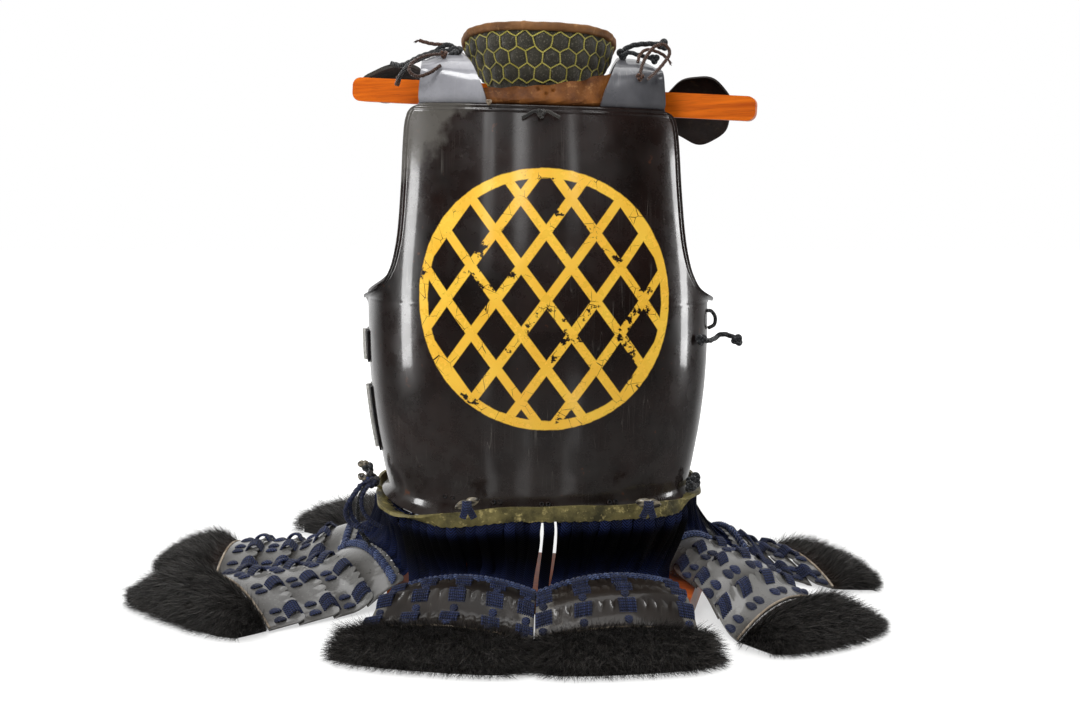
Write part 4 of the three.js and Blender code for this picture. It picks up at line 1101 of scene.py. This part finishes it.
def onBelt(turn, below, out=0.0):
    # inner face: turn in degrees from the middle of the back, below its top edge and out from its face
    side = np.where(np.abs(turn) <= 90, -1, 1)
    folded = np.where(np.abs(turn) <= 90, turn, np.sign(turn) * (180 - np.abs(turn)))
    # where the belt twists, its face turns down: the lower edge draws in and up
    twist = sum(np.exp(-(((turn - middle) / spread) ** 4)) for middle, spread in belt["twists"])
    out = out - belt["tuck"] * twist * below
    below = below * (1 - 0.8 * twist)
    x, y = onSection(np.radians(folded), side, belt["halfWidth"] + out, belt["halfDepth"] + out,
                     belt["squareness"])
    sag = belt["sag"] * np.exp(-(((turn - belt["sagAt"]) / belt["sagSpread"]) ** 2))
    return stack3(x, y, belt["top"] - sag - below)


def outOf(grid):
    # the grid's normals, turned away from the upright middle of the armour
    normals = normalsOf(grid)
    level = unit(grid * (1, 1, 0))
    return normals if np.sum(normals * level) > 0 else -normals


def buildBelt():
    for name, first, last in (("belt_back", -88, 88), ("belt_front", 92, 268)):
        turn, down = np.meshgrid(np.linspace(first, last, 260), np.linspace(0, 1, 8), indexing="ij")
        wrapped = np.where(turn > 180, turn - 360, turn)
        run = lengthsAlong(onBelt(wrapped[:, 0], 0.0 * wrapped[:, 0]))[:, None]
        # the lower edge draws in between the laces, and the strap buckles a little along its length
        draw = 1.3 * (1 - np.abs(np.sin(np.pi * run / belt["scallop"]))) * down ** 3
        wave = 0.7 * np.sin(run * 0.055) * down + 0.4 * np.sin(run * 0.17 + 1) * (1 - down)
        grid = onBelt(wrapped, down * belt["height"] - draw + 0.5 * np.sin(run * 0.09) * (1 - down))
        out = outOf(grid)
        roll = 0.7 * np.exp(-((down - 0.06) / 0.07) ** 2)
        outer = grid + out * (belt["wall"] + wave + roll + 0.5 * np.sin(np.pi * down))[..., None]
        points, faces = closedWall(hung(outer), hung(grid + out * 0.3))
        makePiece("belt" + name[5:].title(), (points, [faces]), "beltLeather", [name])


buildBelt()


# skirt panels
panels = {
    "back_left": {"belt": (-62, -1), "top": ((-127, -77, 22), (-3, -98, 22)), "topRise": 13,
                  "hem": ((-172, -150, 1), (-7, -181, 1)), "hemRise": 10, "furLow": 0.62, "settled": 0.8,
                  "tips": ((-185, -238), (-9, -278)), "bulge": 8, "laces": 16,
                  "columns": (-0.93, -0.45, 0.02, 0.5, 0.93), "finish": "wornLacquer"},
    "back_right": {"belt": (1, 62), "top": ((-2, -98, 22), (125.5, -67.5, 24)), "topRise": 12,
                   "hem": ((-5, -181, 1), (146, -158, 1)), "hemRise": 10, "furLow": 0.62, "settled": 1,
                   "tips": ((-8, -278), (160, -254)), "bulge": 8, "laces": 15,
                   "columns": (-0.93, -0.4, 0.15, 0.93), "finish": "wornLacquer"},
    "side_left_rear": {"belt": (-106, -63), "top": ((-197, 39.5, 30), (-132, -53, 24)), "topRise": 20,
                       "hem": ((-328, -13.6, 17), (-249.5, -141.7, 1)), "hemRise": 14, "settled": 0.4,
                       "tips": ((-417, -42), (-285, -168)), "bulge": 8, "laces": 13,
                       "columns": (-0.9, -0.4, 0.2, 0.85), "finish": "lameLacquer"},
    "side_right_rear": {"belt": (63, 106), "top": ((115.8, 12, 27), (186, 60, 22)), "topRise": 24,
                        "hem": ((178, -175.4, 1), (267, -68.6, 9)), "hemRise": 16, "furLow": 0.55,
                        "settled": 0.95,
                        "tips": ((212, -217), (328, -130)), "bulge": 16, "laces": 12,
                        "columns": (-0.88, -0.35, 0.25, 0.85), "finish": "lameLacquer"},
    "side_left_front": {"belt": (-140, -108), "top": ((-186, 150, 20), (-194, 52, 22)), "topRise": 22,
                        "hem": ((-330, 174, 1), (-338, 48, 1)), "hemRise": 17, "settled": 0.5,
                        "tips": ((-396, 170), (-406, 60)), "bulge": 4, "furLow": 0.6, "laces": 12,
                        "columns": (-0.88, -0.3, 0.3, 0.88), "finish": "lameLacquer"},
    "side_right_front": {"belt": (108, 140), "top": ((206, 66, 20), (172, 150, 20)), "topRise": 18,
                         "hem": ((297, 0.5, 1), (237, 125, 8)), "hemRise": 18, "furLow": 0.65, "settled": 0.5,
                         "tips": ((346, 2), (322, 118)), "bulge": 4, "laces": 12,
                         "columns": (-0.88, -0.3, 0.3, 0.88), "finish": "lameLacquer"},
    "front_left": {"belt": (-178, -142), "top": ((-48, 172, 18), (-128, 118, 18)), "topRise": 20,
                   "hem": ((-110, 292, 1), (-222, 206, 1)), "hemRise": 20, "settled": 0.5,
                   "tips": ((-176, 366), (-298, 268)), "bulge": 6, "laces": 13,
                   "columns": (-0.88, -0.3, 0.3, 0.88), "finish": "lameLacquer"},
    "front_right": {"belt": (142, 178), "top": ((146, 146, 18), (43, 150, 18)), "topRise": 20,
                    "hem": ((168, 262, 1), (36, 268, 1)), "hemRise": 20, "settled": 0.5,
                    "tips": ((174, 356), (32, 362)), "bulge": 6, "laces": 13,
                    "columns": (-0.88, -0.3, 0.3, 0.88), "finish": "lameLacquer"},
}
lame = {"count": 4, "wall": 2.6, "scallop": 10.0, "depth": 5.0, "overlap": 0.035}


def onPanel(row, across, share, up=0.0):
    # across from -1 to 1, the share of the panel's length from top edge to hem, up from its underside
    t = (np.asarray(across, float)[..., None] + 1) / 2
    top = mix(np.array(row["top"][0], float), np.array(row["top"][1], float), t)
    hem = mix(np.array(row["hem"][0], float), np.array(row["hem"][1], float), t)
    p = mix(top, hem, np.asarray(share, float)[..., None])
    s = np.clip((share - row["settled"] + 0.4) / 0.4, 0, 1)
    z = mix(top[..., 2], hem[..., 2], s * s * (3 - 2 * s))
    z = z + mix(row["topRise"], row["hemRise"], share) * (1 - np.asarray(across) ** 2) + up
    return np.stack([p[..., 0], p[..., 1], z], -1)


def panelName(prefix, name):
    return prefix + "".join(word.title() for word in name.split("_"))


def panelSize(row):
    # length along the middle, and width at the panel's half length
    middle = onPanel(row, np.zeros(20), np.linspace(0, 1, 20))
    width = onPanel(row, np.linspace(-1, 1, 20), np.full(20, 0.5))
    return lengthsAlong(middle)[-1], lengthsAlong(width)[-1]


def topOf(row, across, share, above=0.0):
    # a point on the lames' upper side, whose step falls along each lame from two walls to one
    part = np.clip(share * lame["count"] - np.floor(np.clip(share, 0, 0.9999) * lame["count"]), 0, 1)
    first = np.where(share * lame["count"] < 1, 0.0, 1.0)
    return onPanel(row, across, share, lame["wall"] * (1 + first * (1 - part)) + above)


def lameBodies(row):
    # four lames, each with a scalloped top edge that lies on the lame before it
    length, width = panelSize(row)
    bodies = []
    for k in range(lame["count"]):
        across, down = np.meshgrid(np.linspace(-1, 1, 106), np.linspace(0, 1, 9) ** 1.5, indexing="ij")
        bite = lame["depth"] / length * (1 - np.abs(np.sin(np.pi * (across + 1) / 2
                                                           * width / lame["scallop"]))) ** 1.5
        start = k / lame["count"] - (0.012 if k else 0)
        end = (k + 1) / lame["count"] + (lame["overlap"] if k < lame["count"] - 1 else 0)
        share = mix(start + bite, end, down)
        within = np.clip((share - k / lame["count"]) * lame["count"], 0, 1)
        lift = lame["wall"] * (1 + (1 if k else 0) * (1 - within)) - (0.9 * np.clip(within * 30 - 28, 0, 1)
                                                                      if k < 3 else 0)
        sink = np.clip((share - (k + 1) / lame["count"]) / lame["overlap"], 0, 1) * 1.0
        edge = np.clip(1 - down * 14, 0, 1) * 0.5 + np.clip(np.abs(across) * 70 - 69, 0, 1) * 0.6
        lift = lift + (2.4 if k else 1.2) * np.clip(1 - down * 5, 0, 1) ** 2
        upper = onPanel(row, across, share, lift - sink - edge)
        lower = onPanel(row, across, share, np.maximum(lift - sink - 1.9, 0.1))
        points, faces = closedWall(upper, lower)
        place = stack3(across * width / 2, k + 0.985 * within, np.abs(across)).reshape(-1, 3)
        bodies.append((points, [faces], np.concatenate([place, place])))
    return joined(*bodies)


def strandBody(paths, guide, section, scale=None):
    across, up = framesAlong(paths, guide)
    points, faceSets = sweep(paths, across, up, section, scale)
    return points, faceSets, placeOnTubes(paths, len(section), section)


def surfaceStrands(row, across, share, above, section, scale=None):
    # strands laid on a panel: across, share and above are (strands, steps) arrays
    paths = topOf(row, across, share, above)
    lifted = topOf(row, across, share, above + 1.0)
    return strandBody(paths, unit(lifted - paths + (0, 0, 1e-6)), section, scale)


laceLook = {
    # ribs side by side at each lame's edge, their reach and bulge over it, and the ovals below, in mm
    "back": {"ribs": 8, "gap": 2.0, "halfWidth": 1.15, "reach": 8.5, "bulge": 4.8, "stitchRun": 7,
             "stitchHalf": 3.9, "stitches": (0.0,)},
    "side": {"ribs": 6, "gap": 2.3, "halfWidth": 1.3, "reach": 14, "bulge": 6.0, "stitchRun": 12.5,
             "stitchHalf": 4.9, "stitches": (-5.6, 5.6)},
}
earBraid = {"spacing": 5.6, "across": 8.0, "down": 7.2, "rise": 3.2, "backFromEdge": 9.5, "sideFromEdge": 11}
farEdge = 0.985  # strands stay this side of a panel's border, as a share of its half width


def laceBodies(row):
    # at each column and lame edge: cords rolled side by side over the edge, and short stitches on the lame
    length, width = panelSize(row)
    look = laceLook["back" if "back" in row["key"] else "side"]
    t = np.linspace(0, 1, 9)[None]
    hump = np.sin(np.pi * t)
    offset = (np.arange(look["ribs"]) - (look["ribs"] - 1) / 2) * look["gap"] / (width / 2)
    stitchOffset = np.array(look["stitches"]) / (width / 2)
    reach, span = look["reach"] / length, look["stitchRun"] / length
    bodies = []
    for middle in row["columns"]:
        middle = middle * (0.97 if abs(middle) > 0.8 else 1)
        for edge in range(1, lame["count"]):
            at = edge / lame["count"] + 0.03 + random.uniform(-0.008, 0.008)
            lean = random.uniform(-0.02, 0.02)
            across = np.clip(middle + offset[:, None] + lean * (t - 0.5), -farEdge, farEdge)
            share = np.clip(at - reach * 0.62 + reach * 1.25 * t, 0.004, 0.97)
            bulge = (look["bulge"] + random.uniform(-0.6, 0.9)) * hump ** 0.7 - 0.6
            bodies.append(surfaceStrands(row, across, share + 0 * across, bulge + 0 * across,
                                         oval(look["halfWidth"], 1.35, 6), 0.78 + 0.22 * hump ** 0.5))
            stitch = np.clip((edge + 0.6) / lame["count"] + span * (t - 0.5), 0, farEdge)
            across = np.clip(middle + stitchOffset[:, None] + 0 * t, -farEdge, farEdge)
            bodies.append(surfaceStrands(row, across, stitch + 0 * across, 1.5 * hump - 0.4 + 0 * across,
                                         oval(look["stitchHalf"], 1.9, 12, 0.9), 0.3 + 0.7 * hump ** 0.5))
    return joined(*bodies)


def earBraidBody(row):
    # short strokes of pale blue braid that overlap like a rope along the top lame's edge
    length, width = panelSize(row)
    fromEdge = earBraid["backFromEdge" if "back" in row["key"] else "sideFromEdge"]
    middles = np.linspace(-0.95, 0.95, int(width / earBraid["spacing"]))[:, None]
    t = np.linspace(0, 1, 9)[None]
    hump = np.sin(np.pi * t)
    across = middles + (t - 0.5) * earBraid["across"] / (width / 2)
    share = fromEdge / length + (t - 0.5) * earBraid["down"] / length + 0 * middles
    above = 0.5 + earBraid["rise"] * hump + 0 * middles
    return surfaceStrands(row, np.clip(across, -farEdge, farEdge), share, above, oval(2.9, 2.6, 8),
                          0.3 + 0.7 * hump ** 0.7)


def buildPanels():
    for name, row in panels.items():
        row["key"] = name
        body = lameBodies(row)
        # the leather edging turned over the last lame's foot
        hemAcross = np.linspace(-0.99, 0.99, 60)[None]
        hem = strandBody(onPanel(row, hemAcross, 0.995 + 0 * hemAcross, lame["wall"] + 0.4), (0, 0, 1),
                         oval(1.2, 1.0, 8))
        makePiece(panelName("hemEdge", name), hem, "hemEdge")
        makePiece(panelName("lames", name), body, row["finish"], [f"skirt_panel_{name}"])
        makePiece(panelName("laces", name), laceBodies(row), "navyBraid")
        makePiece(panelName("earBraid", name), earBraidBody(row), "blueBraid")


buildPanels()
print("panels ready")


# lacing from belt to panels
def bezier(a, b, c, d, t):
    return a * (1 - t) ** 3 + 3 * b * t * (1 - t) ** 2 + 3 * c * t ** 2 * (1 - t) + d * t ** 3


def buildCurtains():
    for name, row in panels.items():
        count = 2 * row["laces"]
        u = ((np.arange(count) + 0.5) / count)[:, None]
        thin = np.zeros(count, bool)
        if name.startswith("back"):
            # few laces hang where the two back panels part
            thin = (u[:, 0] > 0.84 if name == "back_left" else u[:, 0] < 0.14) & (np.arange(count) % 3 > 0)
        if name == "side_right_rear":
            # the laces at this corner have slipped aside
            thin = u[:, 0] < 0.3
        inner = (np.arange(count) % 2)[~thin][:, None, None]
        u = u[~thin]
        count = len(u)
        u = u + random.uniform(-0.2, 0.2, (count, 1)) / count
        middles = [np.mean(np.array(row[key], float), axis=0) for key in ("hem", "top")]
        away = unit((middles[0] - middles[1]) * (1, 1, 0))
        turn = mix(row["belt"][0], row["belt"][1], u)
        a = hung(onBelt(turn, belt["height"] - 1.5, belt["wall"] - 2.2)) - away * 3.2 * inner
        d = onPanel(row, (2 * u - 1) * 0.94, 0.005 + 0 * u, lame["wall"] + 0.6)
        b = a + away * random.uniform(-1, 4, (count, 1, 1)) + (0, 0, -22)
        c = d - away * random.uniform(14, 22, (count, 1, 1)) + (0, 0, 4)
        t = np.linspace(0, 1, 20)[None, :, None]
        paths = bezier(a, b, c, d, t)
        # each lace bellies out just under the belt, and wanders a little sideways
        sideways = unit(d[-1:] - d[:1])
        paths = paths + away * (3.4 - 2 * inner) * np.exp(-((t - 0.13) / 0.09) ** 2)
        paths = paths + sideways * random.normal(scale=1.6, size=(count, 1, 1)) * np.sin(np.pi * t)
        paths = paths + sideways * random.normal(scale=0.8, size=(count, 1, 1)) * np.sin(2 * np.pi * t)
        tangent = unit(np.gradient(paths, axis=1))
        spin = random.normal(scale=0.22, size=(count, 1, 1)) * np.sin(np.pi * t)
        across = unit(sideways - tangent * np.sum(sideways * tangent, axis=-1, keepdims=True))
        up = np.cross(tangent, across)
        across, up = across * np.cos(spin) + up * np.sin(spin), up * np.cos(spin) - across * np.sin(spin)
        width = lengthsAlong(a[None, :, 0])[0, -1] / row["laces"]
        section = oval(min(width * 0.54, 5.2), 1.2, 8, 0.75)
        points, faceSets = sweep(paths, across, up, section)
        # the laces catch the light where they belly out and where they come forward to the panel
        place = placeOnTubes(paths, 8, section).reshape(count, -1, 8, 3)
        lit = np.exp(-((t - 0.08) / 0.09) ** 2) + np.clip((t - 0.45) / 0.5, 0,
                                                          1) + (0.0 if "back" in name else 0.35)
        place[..., 2] = (0.35 + 0.65 * place[..., 2]) * np.clip(lit, 0, 1)
        makePiece(panelName("curtain", name), (points, faceSets, place.reshape(-1, 3)), "curtainBraid",
                  [f"lacing_{name}"])


buildCurtains()
print("lacing ready")


# bear fur at the hems
fur = {"height": 27, "hairs": 24000, "hiddenShare": 0.6, "length": (9, 20), "width": 0.42, "atEnds": 0.22}


def furPoint(row, across, share, top):
    # the pad's skin: share 0 at the hem and 1 at the tips, top 1 on its upper side and 0 beneath
    hem = onPanel(row, across, 1.0 + 0 * across)
    before = onPanel(row, across, 0.95 + 0 * across)
    away = unit((hem - before) * (1, 1, 0))
    tips = np.array(row["tips"], float)
    tip = mix(tips[0], tips[1], (np.asarray(across)[..., None] + 1) / 2)
    tip = np.concatenate([tip, 0 * tip[..., :1]], -1) + away * (row["bulge"] * (1 - across ** 2))[..., None]
    # the pad's outer corners are round, and its far end is blunt
    reach = share * (0.97 - 0.2 * np.abs(across) ** 7)
    p = mix(hem + away, tip, np.asarray(reach)[..., None])
    arch = hem[..., 2] * (1 - share) ** 1.5
    risen = np.clip(share / 0.35, 0, 1)
    risen = 0.12 + 0.88 * risen * risen * (3 - 2 * risen)
    blunt = 1 - 0.5 * np.clip((share - 0.6) / 0.4, 0, 1) ** 2
    body = fur["height"] * row.get("furLow", 1) * risen * blunt * (1 - 0.45 * np.abs(across) ** 8)
    z = np.where(top > 0, arch + body * top, arch * 0.7)
    return np.stack([p[..., 0], p[..., 1], z], -1), away


def buildFur():
    for name, row in panels.items():
        across, share = np.meshgrid(np.linspace(-0.97, 0.97, 40), np.linspace(0.02, 0.9, 16), indexing="ij")
        upper, _ = furPoint(row, across, share, 0.66 + 0 * share)
        lower, _ = furPoint(row, across, share, 0 * share)
        lower[..., 2] = np.maximum(lower[..., 2], 0.2)
        points, faces = closedWall(upper, np.minimum(lower, upper - (0, 0, 0.5)) * (0, 0, 1)
                                   + lower * (1, 1, 0))
        place = np.tile((0.0, 0.5, 0.1), (len(points), 1))
        makePiece(panelName("furSkin", name), (points, [faces], place), "bearHair",
                  [f"fur_trim_{name}"])

        count = fur["hairs"] if "front" not in name else int(fur["hairs"] * fur["hiddenShare"])
        a = random.uniform(-1, 1, count)
        atEnd = random.random(count) < fur["atEnds"]
        s = np.where(atEnd, random.uniform(0.9, 1, count), random.uniform(0, 1, count))
        depth = np.where(atEnd, random.random(count), 1 - 0.65 * random.random(count) ** 2)
        root, away = furPoint(row, a, s, depth)
        sideways = unit(np.cross(away, (0, 0, 1.0)))
        # hairs lie along the skin towards its tips, fan at the two ends, and clump a little
        further, _ = furPoint(row, a, s + 0.04, depth)
        along = unit(further - root)
        clump = 0.5 * np.sin(a * 19 + 3 * np.sin(s * 9)) + 0.3 * np.sin(a * 43 + s * 17)
        edge = unit(np.diff(np.array(row["tips"], float), axis=0)[0])
        outwards = np.stack([edge[0] * a, edge[1] * a, 0 * a], -1) * (np.abs(a) ** 4)[:, None]
        lift = (0.3 * np.clip(s * 6, 0.2, 1) + 0.2 * random.normal(size=count))[:,
                                                                                None] * np.array((0, 0, 1.0))
        loose = 0.24 * random.normal(size=(count, 3))
        aim = unit(along + outwards * 1.3 + lift + loose + sideways * (0.2 * clump)[:, None])
        length = random.uniform(*fur["length"], count) * (1 - 0.35 * s ** 2)
        t = np.array([0, 1.0])[None, :, None]
        paths = root[:, None] + aim[:, None] * length[:, None, None] * t
        paths[..., 2] = np.maximum(paths[..., 2], 0.4 + 0.5 * random.random((count, 1)))
        tangent = unit(np.gradient(paths, axis=1))
        facing = unit(random.normal(size=(count, 1, 3)) + (0, 0, 0.8))
        across = unit(np.cross(tangent, facing))
        half = fur["width"] / 2 * np.array([1.0, 0.3])[None, :, None]
        points = np.stack([paths - across * half, paths + across * half], 2).reshape(-1, 3)
        index = np.arange(len(points)).reshape(count, 2, 2)
        quads = np.stack([index[:, :-1, 0], index[:, :-1, 1], index[:, 1:, 1], index[:, 1:, 0]],
                         -1).reshape(-1, 4)
        grown = np.broadcast_to(0.5 * t[..., 0] + 1.2 * s[:, None], (count, 2))
        tone = np.broadcast_to(random.random(count)[:, None] ** 2, (count, 2))
        place = np.repeat(np.stack([grown * 20, grown, tone], -1).reshape(-1, 3), 2, axis=0)
        makePiece(panelName("furHair", name), (points, [quads], place), "bearHair", sharp=180)


buildFur()
print("fur ready")


# toggles, hinge pins and small ties
toggles = {
    "back_left": {"middle": (-67, -130, 119), "half": (12, 3, 5), "tilt": 20},
    "back_right": {"middle": (100, -124, 118), "half": (12, 3, 5), "tilt": -6},
    "side_upper": {"middle": (-174, -22, 135), "half": (6, 4, 4), "tilt": 0},
    "side_lower": {"middle": (-173, -34, 124), "half": (6, 4, 4), "tilt": -30},
}


def buildToggles():
    for name, row in toggles.items():
        # a spindle with a waist cut for its cord, flattened on its two faces
        t = np.linspace(0, 1, 41)
        profile = np.sin(np.pi * t) ** 0.55 * (1 - 0.22 * np.exp(-((t - 0.5) / 0.09) ** 2)) + 0.02
        c, s = math.cos(math.radians(row["tilt"])), math.sin(math.radians(row["tilt"]))
        path = np.array(row["middle"]) + np.stack([c * (2 * t - 1), 0 * t, s * (2 * t - 1)],
                                                  -1) * row["half"][0]
        across, up = framesAlong(path[None], (0, -1, 0.001))
        body = sweep(path[None], across, up, oval(row["half"][2], row["half"][1], 18, 0.85), profile[None])
        makePiece(panelName("toggle", name), body, "horn", [f"toggle_{name}"])


tiedKnots = {
    # each knot's middle, size, cord diameter and turn: on the strap, and at both sides of the waist
    "strapKnot": {"finish": "hemEdge", "slot": "brown_cord", "knots": [((-46, -111.5, 484), 4.2, 1.9)]},
    "waistKnot": {"finish": "blackCord", "slot": "black_cord", "knots": [
        ((150, -42, 123), 12, 4.4, 0.6), ((146, -48, 118), 9, 4, 1.4)]},
    "toggleKnots": {"finish": "blackCord", "slot": "black_cord", "knots": [
        ((-169, -24, 131), 9, 4, 0.5), ((-166, -32, 124), 10, 4, 1.2), ((-161, -38, 121), 8, 3.6, 0.2)]},
}


def buildTies():
    bodies = []
    # the forked navy ties that hold the two back toggles to the belt
    for x, y, z, lean in ((-67, -131, 119, 0.2), (100, -125.5, 118, -0.1)):
        for fork in (-1, 1):
            path = alongRoute([(x + fork, y - 3.0, z + 3), (x + fork * 1.6, y - 4.2, z - 3),
                               (x + fork * 3.2 + lean * 4, y - 3.2, z - 8),
                               (x + fork * 5.4 + lean * 6, y - 2.4, z - 13)], 0.9)
            bodies.append(strandBody(path[None], (0, -1, 0), oval(3.3, 0.9, 10, 0.7)))
    body = joined(*bodies)
    makePiece("beltTies", body, "navyBraid")
    # the bow-shaped knot at the middle of the back plate's top
    bodies = [knotBody((1, -117.5, 474), 7, 3.0)]
    for side in (-1, 1):
        path = alongRoute([(1, -118, 474), (1 + side * 6, -118.5, 475.5), (1 + side * 12, -118, 472.5),
                           (1 + side * 17, -117, 470)], 0.8)
        bodies.append(strandBody(path[None], (0, -1, 0), oval(1.5, 1.1, 8)))
    body = joined(*bodies)
    makePiece("backBow", body, "greyCord")
    for name, row in tiedKnots.items():
        body = joined(*[knotBody(*knot) for knot in row["knots"]])
        makePiece(name, body, row["finish"])
    path = alongRoute([(162, -24, 287), (167, -20, 286), (171, -18, 280), (170, -20, 273), (164, -24, 270)],
                      0.8)
    body = strandBody(path[None], (0, -1, 0.2), oval(1.8, 1.8, 10))
    makePiece("sideLoop", body, "blackCord")


buildToggles()
buildTies()


# nodes that keep their solid shape
kept = {"stand_base_board": "boardWood", "stand_crossbar": "barWood", "stand_post_left": "postWood",
        "stand_post_right": "postWood"}
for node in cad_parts:
    if node in kept or node.startswith("hinge_"):
        kept.setdefault(node, "brightPin" if node.endswith("pin") else "blackIron")
for node, finish in kept.items():
    holder = bpy.data.objects[node]
    for slotIndex in range(len(holder.material_slots)):
        holder.material_slots[slotIndex].material = finishes[finish]
    if not holder.material_slots:
        holder.data.materials.append(finishes[finish])

floorMesh = bpy.data.meshes.new("floor")
floorMesh.from_pydata([(-6, -4, 0), (6, -4, 0), (6, 6, 0), (-6, 6, 0)], [], [(0, 1, 2, 3)])
floor = bpy.data.objects.new("floor", floorMesh)
floor.location.z = -0.0004
# paper sweep: lit and shadowed near the armour, and plain white farther off
floorFinish, floorNode, floorShader = newMaterial("paleFloor",
                                                  {"Base Color": "#b0b0af", "Roughness": 0.9,
                                                   "Specular IOR Level": 0})
spot = floorNode("TexCoord").outputs["Object"]
reach = floorNode("VectorMath", (spot,), "LENGTH").outputs["Value"]
far = floorNode("MapRange", (reach, 0.45, 0.8, 0.55, 1), interpolation_type="SMOOTHSTEP")
onlySeen = floorNode("Math", (far, floorNode("LightPath").outputs["Is Camera Ray"]), "MULTIPLY")
setInputs(floorShader, {"Emission Color": "#ffffff", "Emission Strength": onlySeen})
floor.visible_glossy = False
floorMesh.materials.append(floorFinish)
bpy.context.collection.objects.link(floor)


print("all pieces ready")
